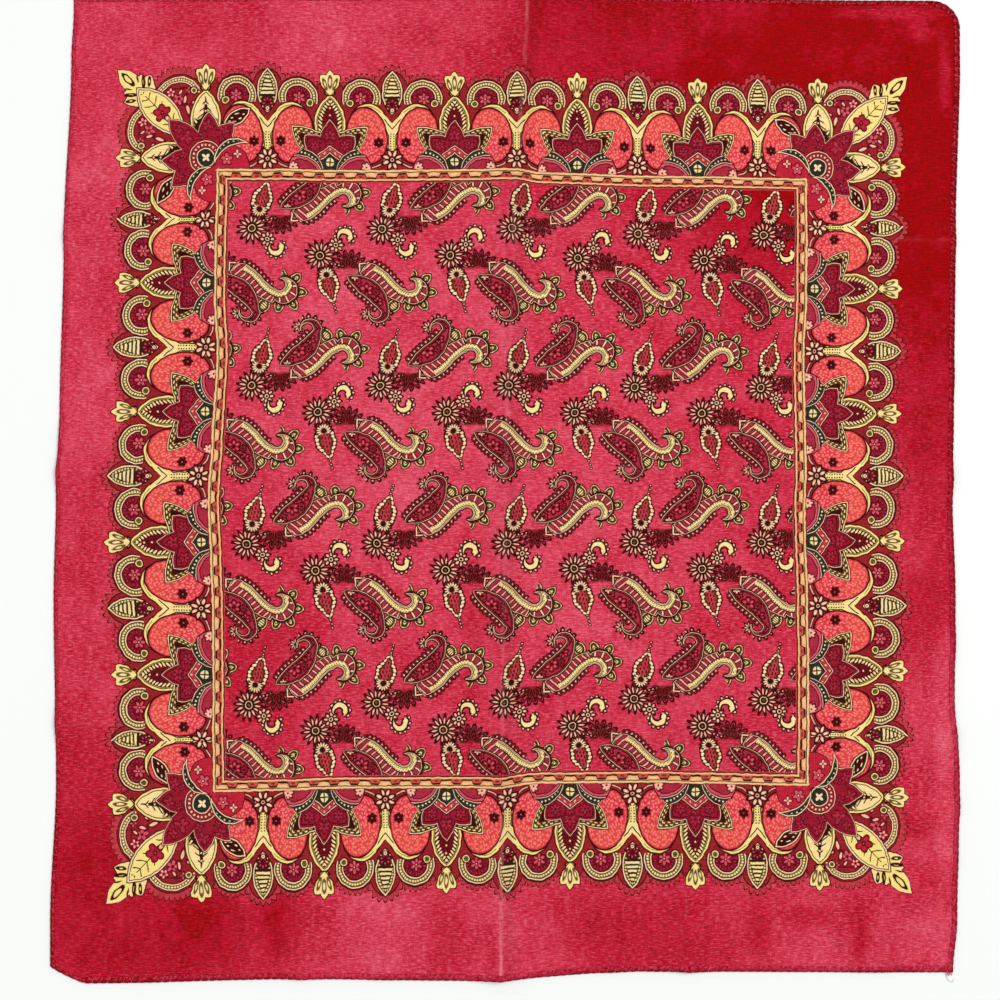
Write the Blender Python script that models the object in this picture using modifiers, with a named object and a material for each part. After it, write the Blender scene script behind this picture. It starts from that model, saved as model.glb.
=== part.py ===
"""A square printed neckerchief (bandana) laid out flat, with its four rolled hems.

Metres, +Z up. The cloth lies on Z = 0, +Y points to its upper edge, and the origin is the
middle of its box on the surface that it lies on. It was stored folded in four both ways, so
three creases run up it and three run across it, and a few short wrinkles cross its margins.
"""

import math
from collections import namedtuple

import bmesh
import bpy
from mathutils import Vector

MM = 0.001

# Driving sizes, in millimetres.
WALL = 1.0  # thickness of the cloth's wall
HEM_WIDTH = 3.0  # a rolled hem seen from above
HEM_HEIGHT = 1.7
SEAM_GAP = 0.3  # between the panel and a hem, and between two hems
HEM_STEP = 12.0  # spacing of a hem's sections along a straight edge

# Where the cells of one quarter start, as shares of its width: fine beside the creases.
CELL_STARTS = (0.0, 0.018, 0.05, 0.11, 0.21, 0.35, 0.5, 0.65, 0.79, 0.89, 0.95, 0.982)

# Half the cloth's width and height where it reaches furthest, in millimetres.
HALF_WIDTH = 268.4
HALF_HEIGHT = 291.4

# The hems' outer edges, in millimetres: at each place along an edge, how far it stays inside that.
EdgeInset = namedtuple("EdgeInset", "along short")
LEFT_INSETS = (
    EdgeInset(-254.0, 0.0),
    EdgeInset(-171.0, 3.5),
    EdgeInset(-65.0, 2.0),
    EdgeInset(1.0, 3.5),
    EdgeInset(41.0, 5.5),
    EdgeInset(147.0, 8.0),
    EdgeInset(253.0, 12.5),
    EdgeInset(284.0, 14.0),
)
RIGHT_INSETS = (
    EdgeInset(-284.0, 4.0),
    EdgeInset(-254.0, 1.5),
    EdgeInset(-171.0, 0.0),
    EdgeInset(-123.0, 3.0),
    EdgeInset(-65.0, 2.5),
    EdgeInset(2.0, 4.5),
    EdgeInset(41.0, 3.5),
    EdgeInset(147.0, 2.5),
    EdgeInset(253.0, 0.0),
)
BOTTOM_INSETS = (
    EdgeInset(-245.0, 0.0),
    EdgeInset(-121.0, 2.5),
    EdgeInset(-21.0, 1.5),
    EdgeInset(80.0, 7.0),
    EdgeInset(245.0, 6.5),
)
TOP_INSETS = (
    EdgeInset(-250.0, 1.0),
    EdgeInset(10.0, 0.0),
    EdgeInset(240.0, 3.0),
)


EdgePoint = namedtuple("EdgePoint", "along out")


def edge_line(insets, furthest):
    """An outer edge's points, from how far it stays inside its furthest reach."""
    side = math.copysign(1.0, furthest)
    return tuple(EdgePoint(inset.along, side * (abs(furthest) - inset.short)) for inset in insets)


LEFT_EDGE = edge_line(LEFT_INSETS, -HALF_WIDTH)
RIGHT_EDGE = edge_line(RIGHT_INSETS, HALF_WIDTH)
BOTTOM_EDGE = edge_line(BOTTOM_INSETS, -HALF_HEIGHT)
TOP_EDGE = edge_line(TOP_INSETS, HALF_HEIGHT)

# Corner radii on the outer edge, in millimetres, by the signs of X and Y there.
CORNER_RADII = {(-1, 1): 1.6, (1, 1): 17.0, (1, -1): 1.6, (-1, -1): 18.0}

# From the bottom edge to the top, and from the left edge to the right, along the middle creases.
Span = namedtuple("Span", "low high")
SPAN_UP = Span(-290.2, 291.4)
SPAN_ACROSS = Span(-265.4, 263.8)

# The pressed creases, in millimetres. A crease that runs up the cloth gives its X from the
# bottom edge to the top, and one that runs across gives its Y from the left edge to the right.
Crease = namedtuple("Crease", "first second middle fourth last lift reach")
UPRIGHT_CREASES = (
    Crease(-120.0, -125.5, -119.0, -128.0, -134.0, lift=1.5, reach=20.0),
    Crease(-2.5, -1.5, 0.0, 5.0, 13.0, lift=3.4, reach=26.0),
    Crease(109.0, 110.0, 116.0, 124.5, 130.0, lift=2.0, reach=22.0),
)
LEVEL_CREASES = (
    Crease(-137.5, -140.0, -142.0, -144.0, -145.0, lift=1.5, reach=20.0),
    Crease(11.0, 13.0, 14.0, 11.0, 6.5, lift=2.2, reach=23.0),
    Crease(150.0, 152.5, 154.0, 150.5, 147.0, lift=1.3, reach=19.0),
)

# Short soft wrinkles: the middle in millimetres, the way it runs in degrees from +X,
# its length, how far it lifts and how far it reaches on each side.
Wrinkle = namedtuple("Wrinkle", "x y turn length lift reach")
WRINKLES = (
    Wrinkle(237.0, -246.0, 56.0, 108.0, lift=3.0, reach=17.0),
    Wrinkle(212.0, -261.0, 74.0, 60.0, lift=1.6, reach=15.0),
    Wrinkle(-203.0, 259.0, 24.0, 98.0, lift=1.9, reach=17.0),
    Wrinkle(242.0, 259.0, -48.0, 80.0, lift=2.2, reach=18.0),
    Wrinkle(248.0, 5.0, 4.0, 76.0, lift=2.1, reach=16.0),
    Wrinkle(249.0, -90.0, -5.0, 68.0, lift=1.8, reach=15.0),
    Wrinkle(251.0, 65.0, 8.0, 60.0, lift=1.3, reach=14.0),
    Wrinkle(-246.0, 30.0, -6.0, 72.0, lift=1.5, reach=15.0),
    Wrinkle(-244.0, -136.0, 5.0, 78.0, lift=1.8, reach=16.0),
    Wrinkle(-207.0, -261.0, 82.0, 68.0, lift=1.8, reach=17.0),
    Wrinkle(-72.0, -271.0, 86.0, 54.0, lift=1.2, reach=15.0),
    Wrinkle(64.0, -267.0, 96.0, 62.0, lift=1.4, reach=16.0),
    Wrinkle(-41.0, 267.0, 88.0, 60.0, lift=1.2, reach=15.0),
    Wrinkle(62.0, 203.0, 34.0, 82.0, lift=1.2, reach=17.0),
    Wrinkle(-62.0, -81.0, -32.0, 78.0, lift=1.1, reach=17.0),
    Wrinkle(178.0, -62.0, 40.0, 86.0, lift=1.2, reach=18.0),
)

Dye = namedtuple("Dye", "name red green blue roughness")
CLOTH_DYE = Dye("faded_red_cloth", 0.62, 0.035, 0.06, 0.8)
HEM_DYE = Dye("dark_red_hem", 0.36, 0.008, 0.03, 0.85)


def eased(t):
    """0 to 1 with a level start and end."""
    t = min(1.0, max(0.0, t))
    return t * t * (3.0 - 2.0 * t)


def between(points, along):
    """A smooth line through (place, value) pairs, read at one place."""
    if along <= points[0][0]:
        return points[0][1]
    for (a, low), (b, high) in zip(points, points[1:]):
        if along <= b:
            return low + (high - low) * eased((along - a) / (b - a))
    return points[-1][1]


def crease_at(crease, share):
    """Where a crease runs, at a share from its first end to its last."""
    stations = crease[:5]
    return between([(i / 4.0, value) for i, value in enumerate(stations)], share)


def share_of(span, value):
    """How far along a span a place is, from 0 to 1."""
    return (value - span.low) / (span.high - span.low)


def pressed(distance, reach):
    """A creased ridge's profile: sharp at the top and level where it meets the surface."""
    left = max(0.0, 1.0 - abs(distance) / reach)
    return left * left


def rounded(distance, reach):
    """A soft wrinkle's profile."""
    left = max(0.0, 1.0 - (distance / reach) ** 2)
    return left * left


def lift_at(x, y):
    """How far the cloth's underside is off the surface, in millimetres."""
    lifts = []
    for crease in UPRIGHT_CREASES:
        away = x - crease_at(crease, share_of(SPAN_UP, y))
        lifts.append(crease.lift * pressed(away, crease.reach))
    for crease in LEVEL_CREASES:
        away = y - crease_at(crease, share_of(SPAN_ACROSS, x))
        lifts.append(crease.lift * pressed(away, crease.reach))
    for wrinkle in WRINKLES:
        turn = math.radians(wrinkle.turn)
        ahead = (x - wrinkle.x) * math.cos(turn) + (y - wrinkle.y) * math.sin(turn)
        aside = (y - wrinkle.y) * math.cos(turn) - (x - wrinkle.x) * math.sin(turn)
        fade = rounded(ahead, wrinkle.length / 2.0)
        lifts.append(wrinkle.lift * fade * rounded(aside, wrinkle.reach))
    return math.sqrt(sum(lift * lift for lift in lifts))


def upright_lines(inset):
    """Functions of Y for the left edge, the three creases and the right edge."""
    lines = [lambda y: between(LEFT_EDGE, y) + inset]
    for crease in UPRIGHT_CREASES:
        lines.append(lambda y, crease=crease: crease_at(crease, share_of(SPAN_UP, y)))
    lines.append(lambda y: between(RIGHT_EDGE, y) - inset)
    return lines


def level_lines(inset):
    """Functions of X for the bottom edge, the three creases and the top edge."""
    lines = [lambda x: between(BOTTOM_EDGE, x) + inset]
    for crease in LEVEL_CREASES:
        lines.append(lambda x, crease=crease: crease_at(crease, share_of(SPAN_ACROSS, x)))
    lines.append(lambda x: between(TOP_EDGE, x) - inset)
    return lines


def read_lines(lines, station, across):
    """The place at a station, counted in quarters, between neighbouring lines."""
    quarter = min(int(station), len(lines) - 2)
    low, high = lines[quarter](across), lines[quarter + 1](across)
    return low + (high - low) * (station - quarter)


def round_corner(x, y, inset):
    """Moves a point of the square-cornered sheet so that the corner becomes an arc."""
    side_x, side_y = (1 if x > 0 else -1), (1 if y > 0 else -1)
    radius = max(0.4, CORNER_RADII[side_x, side_y] - inset)
    edge_x = between(RIGHT_EDGE if side_x > 0 else LEFT_EDGE, y) - side_x * inset
    edge_y = between(TOP_EDGE if side_y > 0 else BOTTOM_EDGE, x) - side_y * inset
    centre_x, centre_y = edge_x - side_x * radius, edge_y - side_y * radius
    p, q = (x - centre_x) * side_x / radius, (y - centre_y) * side_y / radius
    if p <= 0.0 or q <= 0.0:
        return x, y
    p, q = min(p, 1.0), min(q, 1.0)
    across, up = p * math.sqrt(1.0 - q * q / 2.0), q * math.sqrt(1.0 - p * p / 2.0)
    return centre_x + side_x * radius * across, centre_y + side_y * radius * up


def sheet_point(station_x, station_y, inset):
    """A point of the sheet at its stations across and up, in millimetres, on the underside."""
    uprights, levels = upright_lines(inset), level_lines(inset)
    x = y = 0.0
    for _ in range(6):
        x = read_lines(uprights, station_x, y)
        y = read_lines(levels, station_y, x)
    x, y = round_corner(x, y, inset)
    return x, y, lift_at(x, y)


def cell_stations():
    """The stations of the grid lines from one edge to the other, in quarters."""
    quarters = len(UPRIGHT_CREASES) + 1
    starts = [q + share for q in range(quarters) for share in CELL_STARTS]
    return starts + [float(quarters)]


def dyed(dye):
    """A plain material of one dye."""
    material = bpy.data.materials.get(dye.name) or bpy.data.materials.new(dye.name)
    material.use_nodes = True
    shader = material.node_tree.nodes["Principled BSDF"]
    shader.inputs["Base Color"].default_value = (dye.red, dye.green, dye.blue, 1.0)
    shader.inputs["Roughness"].default_value = dye.roughness
    shader.inputs["Metallic"].default_value = 0.0
    return material


def build_panel(parts):
    """The cloth inside its hems: one grid, shaped by the creases, and given its thickness."""
    stations = cell_stations()
    cells = len(stations) - 1
    grid = bmesh.new()
    bmesh.ops.create_grid(grid, x_segments=cells, y_segments=cells, size=1.0)
    for vert in grid.verts:
        column = round((vert.co.x + 1.0) / 2.0 * cells)
        row = round((vert.co.y + 1.0) / 2.0 * cells)
        place = sheet_point(stations[column], stations[row], HEM_WIDTH + SEAM_GAP)
        vert.co = Vector(place) * MM
    mesh = bpy.data.meshes.new("cloth_panel")
    grid.to_mesh(mesh)
    grid.free()
    panel = bpy.data.objects.new("cloth_panel", mesh)
    parts.objects.link(panel)
    wall = panel.modifiers.new("wall", "SOLIDIFY")
    wall.thickness = WALL * MM
    wall.offset = 1.0
    panel.data.materials.append(dyed(CLOTH_DYE))
    panel.data.shade_smooth()
    return panel


def hem_profile(parts):
    """The rolled hem's section: round on top and flat underneath. It guides the four hems."""
    half = HEM_WIDTH / 2.0
    section = (
        (-half, HEM_HEIGHT * 0.3),
        (-half * 0.93, HEM_HEIGHT * 0.68),
        (-half * 0.5, HEM_HEIGHT),
        (half * 0.5, HEM_HEIGHT),
        (half * 0.93, HEM_HEIGHT * 0.68),
        (half, HEM_HEIGHT * 0.3),
        (half * 0.72, 0.0),
        (-half * 0.72, 0.0),
    )
    curve = bpy.data.curves.new("hem_profile", "CURVE")
    curve.dimensions = "2D"
    spline = curve.splines.new("POLY")
    spline.points.add(len(section) - 1)
    for point, (aside, up) in zip(spline.points, section):
        point.co = (aside * MM, up * MM, 0.0, 1.0)
    spline.use_cyclic_u = True
    guide = bpy.data.objects.new("hem_profile", curve)
    guide.hide_render = True
    guide.display_type = "WIRE"
    parts.objects.link(guide)
    return guide


def edge_point(side, along, inset):
    """The point that lies inside one edge by the inset, at a place along that edge."""
    if side in ("left", "right"):
        table, sign = (LEFT_EDGE, 1) if side == "left" else (RIGHT_EDGE, -1)
        return between(table, along) + sign * inset, along
    table, sign = (BOTTOM_EDGE, 1) if side == "bottom" else (TOP_EDGE, -1)
    return along, between(table, along) + sign * inset


def corner_arc(corner, inset, steps):
    """Points round one corner at the inset, from the upright edge to the level one."""
    side_x, side_y = corner
    radius = CORNER_RADII[corner] - inset
    upright = RIGHT_EDGE if side_x > 0 else LEFT_EDGE
    level = TOP_EDGE if side_y > 0 else BOTTOM_EDGE
    y = level[0 if side_x < 0 else -1].out - side_y * inset
    centre_y = y - side_y * radius
    centre_x = between(upright, centre_y) - side_x * (inset + radius)
    points = []
    for step in range(steps + 1):
        angle = math.radians(90.0 * step / steps)
        x = centre_x + side_x * radius * math.cos(angle)
        y = centre_y + side_y * radius * math.sin(angle)
        points.append((x, y))
    return points


def evenly(start, end):
    """Places from start to end, about one hem step apart."""
    steps = max(1, round(abs(end - start) / HEM_STEP))
    return [start + (end - start) * i / steps for i in range(steps + 1)]


def upright_hem_path(side, arc_corner):
    """A side hem: from the square corner, along the edge and round the far corner."""
    middle = HEM_WIDTH / 2.0
    side_x, side_y = arc_corner
    arc = corner_arc(arc_corner, middle, steps=7)
    far_edge = BOTTOM_EDGE if side_y > 0 else TOP_EDGE
    start = far_edge[0 if side_x < 0 else -1].out
    straight = [edge_point(side, y, middle) for y in evenly(start, arc[0][1])]
    return straight[:-1] + arc


def level_hem_path(side, arc_corner):
    """A top or bottom hem: from the end of the arc to the inner face of the other side hem."""
    middle = HEM_WIDTH / 2.0
    arc_end_x, arc_end_y = corner_arc(arc_corner, middle, steps=7)[-1]
    outward = -arc_corner[0]
    start = arc_end_x + outward * SEAM_GAP
    other = RIGHT_EDGE if outward > 0 else LEFT_EDGE
    end = between(other, arc_end_y) - outward * (HEM_WIDTH + SEAM_GAP)
    return [edge_point(side, x, middle) for x in evenly(start, end)]


def build_hem(parts, name, path, profile):
    """One rolled hem, swept along its path at the cloth's own lift."""
    curve = bpy.data.curves.new(name, "CURVE")
    curve.dimensions = "3D"
    curve.twist_mode = "Z_UP"
    curve.bevel_mode = "OBJECT"
    curve.bevel_object = profile
    curve.use_fill_caps = True
    spline = curve.splines.new("POLY")
    spline.points.add(len(path) - 1)
    for point, (x, y) in zip(spline.points, path):
        point.co = (x * MM, y * MM, lift_at(x, y) * MM, 1.0)
    hem = bpy.data.objects.new(name, curve)
    parts.objects.link(hem)
    curve.materials.append(dyed(HEM_DYE))
    return hem


def build_bandana():
    for old in list(bpy.data.objects):
        bpy.data.objects.remove(old)
    parts = bpy.data.collections.new("bandana")
    bpy.context.scene.collection.children.link(parts)
    guides = bpy.data.collections.new("guides")
    bpy.context.scene.collection.children.link(guides)

    build_panel(parts)
    profile = hem_profile(guides)
    lower_left, upper_right = (-1, -1), (1, 1)
    build_hem(parts, "hem_left", upright_hem_path("left", lower_left), profile)
    build_hem(parts, "hem_bottom", level_hem_path("bottom", lower_left), profile)
    build_hem(parts, "hem_right", upright_hem_path("right", upper_right), profile)
    build_hem(parts, "hem_top", level_hem_path("top", upper_right), profile)


build_bandana()
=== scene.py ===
import math

import bmesh
import bpy
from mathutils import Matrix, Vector, noise


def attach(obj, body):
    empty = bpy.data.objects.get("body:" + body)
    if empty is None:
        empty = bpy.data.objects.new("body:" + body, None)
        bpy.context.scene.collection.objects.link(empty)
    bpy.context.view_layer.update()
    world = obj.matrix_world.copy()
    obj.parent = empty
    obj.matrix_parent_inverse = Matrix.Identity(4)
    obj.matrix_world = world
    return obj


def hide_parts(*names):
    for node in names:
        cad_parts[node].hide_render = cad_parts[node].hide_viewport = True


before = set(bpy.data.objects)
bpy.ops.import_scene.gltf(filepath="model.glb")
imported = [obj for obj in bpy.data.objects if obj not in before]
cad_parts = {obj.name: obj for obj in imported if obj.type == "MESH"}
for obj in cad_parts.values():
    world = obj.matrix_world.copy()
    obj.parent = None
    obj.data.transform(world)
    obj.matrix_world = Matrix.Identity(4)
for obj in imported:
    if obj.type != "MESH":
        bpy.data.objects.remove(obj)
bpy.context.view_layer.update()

mm = 0.001

# Lengths are in millimetres here, and turned into metres when a mesh is made.
cloth = {
    "halfWidth": 264.5,  # of the flat printed square, inside its hem turns
    "halfHeight": 288.0,
    "cell": 2.62,  # spacing of the mesh over the flat cloth
    "fineCell": 1.2,  # beside the middle crease
    "fineReach": 9.0,
    "thickness": 0.42,
    "clearance": 0.06,  # under the cloth
    "inset": 1.3,  # the cloth ends inside its hem
    "hemTurn": 8.0,  # cloth used up by each rolled edge
    "buckle": 0.35,  # small unevenness all over
    "buckleSize": 34.0,
    "pucker": 0.5,  # gathers beside the hems
    "puckerReach": 13.0,
    "gather": 5.5,  # from one gather to the next
    "gatherFade": 30.0,
}

printed = {
    "frameX": 175.0,  # outer line of the inner frame, from the middle of the print
    "frameY": 182.0,
    "frameWidth": 8.0,
    "tip": 58.0,  # from that line out to the tips of the border
    "reach": 63.0,  # to the end of its fringe
    "unit": 72.5,  # one repeat of the border along the top and the bottom
    "sideUnit": 76.2,  # and along the two sides, where it is stretched
    "cornerInset": 30.0,  # how far the corner's own design runs back beside the frame
}

furthest = {"across": 268.4, "up": 291.4}  # half the cloth's width and height where it reaches furthest


def edgeInside(reach, insets):  # an edge from how far it stays inside its furthest reach
    return tuple((along, reach - math.copysign(short, reach)) for along, short in insets)


# Where the edges and the lines of the print lie, as (place along, how far out) pairs.
lies = {
    "leftEdge": edgeInside(-furthest["across"], ((-254.0, 0.0), (-171.0, 3.5), (-65.0, 2.0), (1.0, 3.5),
                                                 (41.0, 5.5), (147.0, 8.0), (253.0, 12.5),
                                                 (284.0, 14.0))),
    "rightEdge": edgeInside(furthest["across"], ((-284.0, 4.0), (-254.0, 1.5), (-171.0, 0.0), (-123.0, 3.0),
                                                 (-65.0, 2.5), (2.0, 4.5), (41.0, 3.5), (147.0, 2.5),
                                                 (253.0, 0.0))),
    "bottomEdge": edgeInside(-furthest["up"], ((-245.0, 0.0), (-121.0, 2.5), (-21.0, 1.5), (80.0, 7.0),
                                               (245.0, 6.5))),
    "topEdge": edgeInside(furthest["up"], ((-250.0, 1.0), (10.0, 0.0), (240.0, 3.0))),
    "leftTips": ((-187.0, -233.5), (-110.0, -232.5), (-32.0, -237.0), (44.0, -232.5), (194.0, -229.0),
                 (250.0, -226.5)),
    "rightTips": ((-182.0, 237.5), (-105.0, 238.0), (45.0, 234.0), (191.0, 235.5)),
    "bottomTips": ((-180.0, -243.0), (-108.0, -242.0), (-32.0, -238.5), (37.0, -236.0), (182.0, -236.0)),
    "topTips": ((-235.0, 245.5), (-175.0, 250.5), (-103.0, 247.5), (43.0, 246.0), (114.0, 243.0),
                (185.0, 242.0)),
    "leftFrame": ((-179.0, -172.6), (-100.0, -173.0), (-68.0, -173.3), (-42.0, -174.3), (-8.0, -175.8),
                  (23.0, -173.5), (82.0, -170.5), (112.0, -172.0), (189.0, -170.5)),
    "rightFrame": ((-175.0, 179.5), (-100.0, 179.8), (-68.0, 178.8), (-8.0, 177.6), (24.0, 177.9),
                   (81.0, 177.0), (113.0, 178.6), (184.0, 178.6)),
    "bottomFrame": ((-173.0, -178.8), (-83.0, -176.7), (-8.0, -176.4), (20.0, -173.8), (91.0, -173.2),
                    (180.0, -175.1)),
    "topFrame": ((-170.0, 189.6), (-83.0, 188.8), (-3.0, 189.4), (7.0, 188.8), (21.0, 187.3), (91.0, 185.3),
                 (139.0, 184.4), (179.0, 183.8)),
    "middleUp": ((-178.0, 1.5), (0.0, 4.0), (188.0, 7.0)),
    "middleAcross": ((-172.0, 8.0), (178.0, 8.0)),
}

# Where each corner starts to turn, across and up, by the signs of X and Y. A power of 1 cuts it straight.
corners = {
    (-1, 1): {"across": 1.6, "up": 1.6, "power": 2.0},
    (1, 1): {"across": 17.0, "up": 17.0, "power": 2.0},
    (1, -1): {"across": 1.6, "up": 1.6, "power": 2.0},
    (-1, -1): {"across": 20.5, "up": 10.6, "power": 1.12},
}

uprightCreases = (  # X from the bottom edge to the top, then how high and how far each one lifts the cloth
    {"stations": (-120.0, -125.5, -119.0, -128.0, -134.0), "lift": 1.5, "reach": 20.0},
    {"stations": (-2.5, -1.5, 0.0, 5.0, 13.0), "lift": 3.4, "reach": 26.0},
    {"stations": (109.0, 110.0, 116.0, 124.5, 130.0), "lift": 2.0, "reach": 22.0},
)
levelCreases = (  # Y from the left edge to the right
    {"stations": (-137.5, -140.0, -142.0, -144.0, -145.0), "lift": 1.5, "reach": 20.0},
    {"stations": (11.0, 13.0, 14.0, 11.0, 6.5), "lift": 2.2, "reach": 23.0},
    {"stations": (150.0, 152.5, 154.0, 150.5, 147.0), "lift": 1.3, "reach": 19.0},
)
spanUp = (-290.2, 291.4)  # from the bottom edge to the top along the middle
spanAcross = (-265.4, 263.8)
wrinkles = (  # x, y, turn in degrees, length, lift, reach
    (237.0, -246.0, 56.0, 108.0, 3.0, 17.0),
    (212.0, -261.0, 74.0, 60.0, 1.6, 15.0),
    (256.0, -194.0, 38.0, 52.0, 2.0, 9.0),
    (-30.0, -262.0, 88.0, 50.0, 1.4, 9.0),
    (152.0, -258.0, 94.0, 54.0, 1.5, 10.0),
    (92.0, -270.0, 84.0, 40.0, 1.2, 9.0),
    (-150.0, -266.0, 92.0, 50.0, 1.4, 11.0),
    (-203.0, 259.0, 24.0, 98.0, 1.9, 17.0),
    (242.0, 259.0, -48.0, 80.0, 2.2, 18.0),
    (248.0, 5.0, 4.0, 76.0, 2.1, 16.0),
    (249.0, -90.0, -5.0, 68.0, 1.8, 15.0),
    (251.0, 65.0, 8.0, 60.0, 1.3, 14.0),
    (-246.0, 30.0, -6.0, 72.0, 1.5, 15.0),
    (-244.0, -136.0, 5.0, 78.0, 1.8, 16.0),
    (-207.0, -261.0, 82.0, 68.0, 1.8, 17.0),
    (-72.0, -271.0, 86.0, 54.0, 1.2, 15.0),
    (64.0, -267.0, 96.0, 62.0, 1.4, 16.0),
    (-41.0, 267.0, 88.0, 60.0, 1.2, 15.0),
    (62.0, 203.0, 34.0, 82.0, 1.2, 17.0),
    (-62.0, -81.0, -32.0, 78.0, 1.1, 17.0),
    (178.0, -62.0, 40.0, 86.0, 1.2, 18.0),
)


def eased(t):
    t = min(1.0, max(0.0, t))
    return t * t * (3.0 - 2.0 * t)


def between(points, along):
    if along <= points[0][0]:
        return points[0][1]
    for (a, low), (b, high) in zip(points, points[1:]):
        if along <= b:
            return low + (high - low) * eased((along - a) / (b - a))
    return points[-1][1]


def creaseAt(crease, share):
    stations = crease["stations"]
    return between([(i / (len(stations) - 1), value) for i, value in enumerate(stations)], share)


def shareOf(span, value):
    return (value - span[0]) / (span[1] - span[0])


def pressed(distance, reach):
    left = max(0.0, 1.0 - abs(distance) / reach)
    return left * left


def rounded(distance, reach):
    left = max(0.0, 1.0 - (distance / reach) ** 2)
    return left * left


def fromUprights(x, y):  # signed distances to the three creases that run up the cloth
    return [x - creaseAt(crease, shareOf(spanUp, y)) for crease in uprightCreases]


def fromLevels(x, y):
    return [y - creaseAt(crease, shareOf(spanAcross, x)) for crease in levelCreases]


def liftAt(x, y):
    lifts = []
    for crease, away in zip(uprightCreases + levelCreases, fromUprights(x, y) + fromLevels(x, y)):
        lifts.append(crease["lift"] * pressed(away, crease["reach"]))
    for wx, wy, turn, length, lift, reach in wrinkles:
        cosine, sine = math.cos(math.radians(turn)), math.sin(math.radians(turn))
        ahead = (x - wx) * cosine + (y - wy) * sine
        if abs(ahead) < length / 2.0:
            aside = (y - wy) * cosine - (x - wx) * sine
            lifts.append(lift * rounded(ahead, length / 2.0) * rounded(aside, reach))
    return math.sqrt(sum(lift * lift for lift in lifts))


def readLines(lines, station, across):
    for (a, low), (b, high) in zip(lines, lines[1:]):
        if station <= b or (b, high) == lines[-1]:
            start, end = low(across), high(across)
            return start + (end - start) * (station - a) / (b - a)


def lineOf(name, inset=0.0):
    return lambda along: between(lies[name], along) + inset


frameX, frameY, tip = printed["frameX"], printed["frameY"], printed["tip"]
uprightLines = (
    (-cloth["halfWidth"], lineOf("leftEdge", cloth["inset"])),
    (-frameX - tip, lineOf("leftTips")),
    (-frameX, lineOf("leftFrame")),
    (0.0, lineOf("middleUp")),
    (frameX, lineOf("rightFrame")),
    (frameX + tip, lineOf("rightTips")),
    (cloth["halfWidth"], lineOf("rightEdge", -cloth["inset"])),
)
levelLines = (
    (-cloth["halfHeight"], lineOf("bottomEdge", cloth["inset"])),
    (-frameY - tip, lineOf("bottomTips")),
    (-frameY, lineOf("bottomFrame")),
    (0.0, lineOf("middleAcross")),
    (frameY, lineOf("topFrame")),
    (frameY + tip, lineOf("topTips")),
    (cloth["halfHeight"], lineOf("topEdge", -cloth["inset"])),
)


def roundCorner(x, y, inset):
    sideX, sideY = (1 if x > 0 else -1), (1 if y > 0 else -1)
    shape = corners[sideX, sideY]
    across, up, power = max(0.4, shape["across"] - inset), max(0.4, shape["up"] - inset), shape["power"]
    edgeX = between(lies["rightEdge" if sideX > 0 else "leftEdge"], y) - sideX * inset
    edgeY = between(lies["topEdge" if sideY > 0 else "bottomEdge"], x) - sideY * inset
    centreX, centreY = edgeX - sideX * across, edgeY - sideY * up
    p, q = (x - centreX) * sideX / across, (y - centreY) * sideY / up
    if p <= 0.0 or q <= 0.0:
        return x, y
    p, q = min(p, 1.0), min(q, 1.0)
    turnedX = p * (1.0 - q ** power / 2.0) ** (1.0 / power)
    turnedY = q * (1.0 - p ** power / 2.0) ** (1.0 / power)
    return centreX + sideX * across * turnedX, centreY + sideY * up * turnedY


def lieAt(flatX, flatY):
    x, y = flatX, flatY
    for _ in range(5):
        x = readLines(uprightLines, flatX, y)
        y = readLines(levelLines, flatY, x)
    return roundCorner(x, y, cloth["inset"])


def clothLift(flatX, flatY, x, y):
    lump = noise.noise(Vector((x, y, 3.0)) / cloth["buckleSize"]) + 0.5
    fromSide = cloth["halfWidth"] - abs(flatX)
    fromEnd = cloth["halfHeight"] - abs(flatY)
    gather, gatherFade = cloth["gather"], cloth["gatherFade"]
    side = 0.5 + noise.noise(Vector((7.0, y / gather, fromSide / gatherFade)))
    end = 0.5 + noise.noise(Vector((x / gather, 9.0, fromEnd / gatherFade)))
    gathers = pressed(fromSide, cloth["puckerReach"]) * side + pressed(fromEnd, cloth["puckerReach"]) * end
    return liftAt(x, y) + max(0.0, cloth["buckle"] * lump) + cloth["pucker"] * max(0.0, gathers)


def stationsAlong(marks, fineReach):
    stations = [marks[0]]
    for a, b in zip(marks, marks[1:]):
        size = cloth["fineCell"] if abs(a + b) / 2.0 < fineReach else cloth["cell"]
        steps = max(1, round((b - a) / size))
        stations += [a + (b - a) * (i + 1) / steps for i in range(steps)]
    return stations


def mirrored(values):
    return sorted({-value for value in values} | set(values) | {0.0})


cornerX = 2.0 * printed["unit"]  # where the corner's own design takes over
cornerY = 2.0 * printed["sideUnit"]
innerX, innerY = frameX - printed["frameWidth"], frameY - printed["frameWidth"]
outerX, outerY = frameX + printed["reach"], frameY + printed["reach"]
stationsX = stationsAlong(mirrored((cloth["fineReach"], cornerX, innerX, frameX, outerX, cloth["halfWidth"])),
                          cloth["fineReach"])
stationsY = stationsAlong(mirrored((cornerY, innerY, frameY, outerY, cloth["halfHeight"])), 0.0)
print("cloth grid", len(stationsX), "by", len(stationsY))


def screenColour(red, green, blue):  # from its 0 to 255 screen values
    parts = [part / 255.0 for part in (red, green, blue)]
    return tuple(p / 12.92 if p <= 0.04045 else ((p + 0.055) / 1.055) ** 2.4 for p in parts) + (1.0,)


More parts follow.
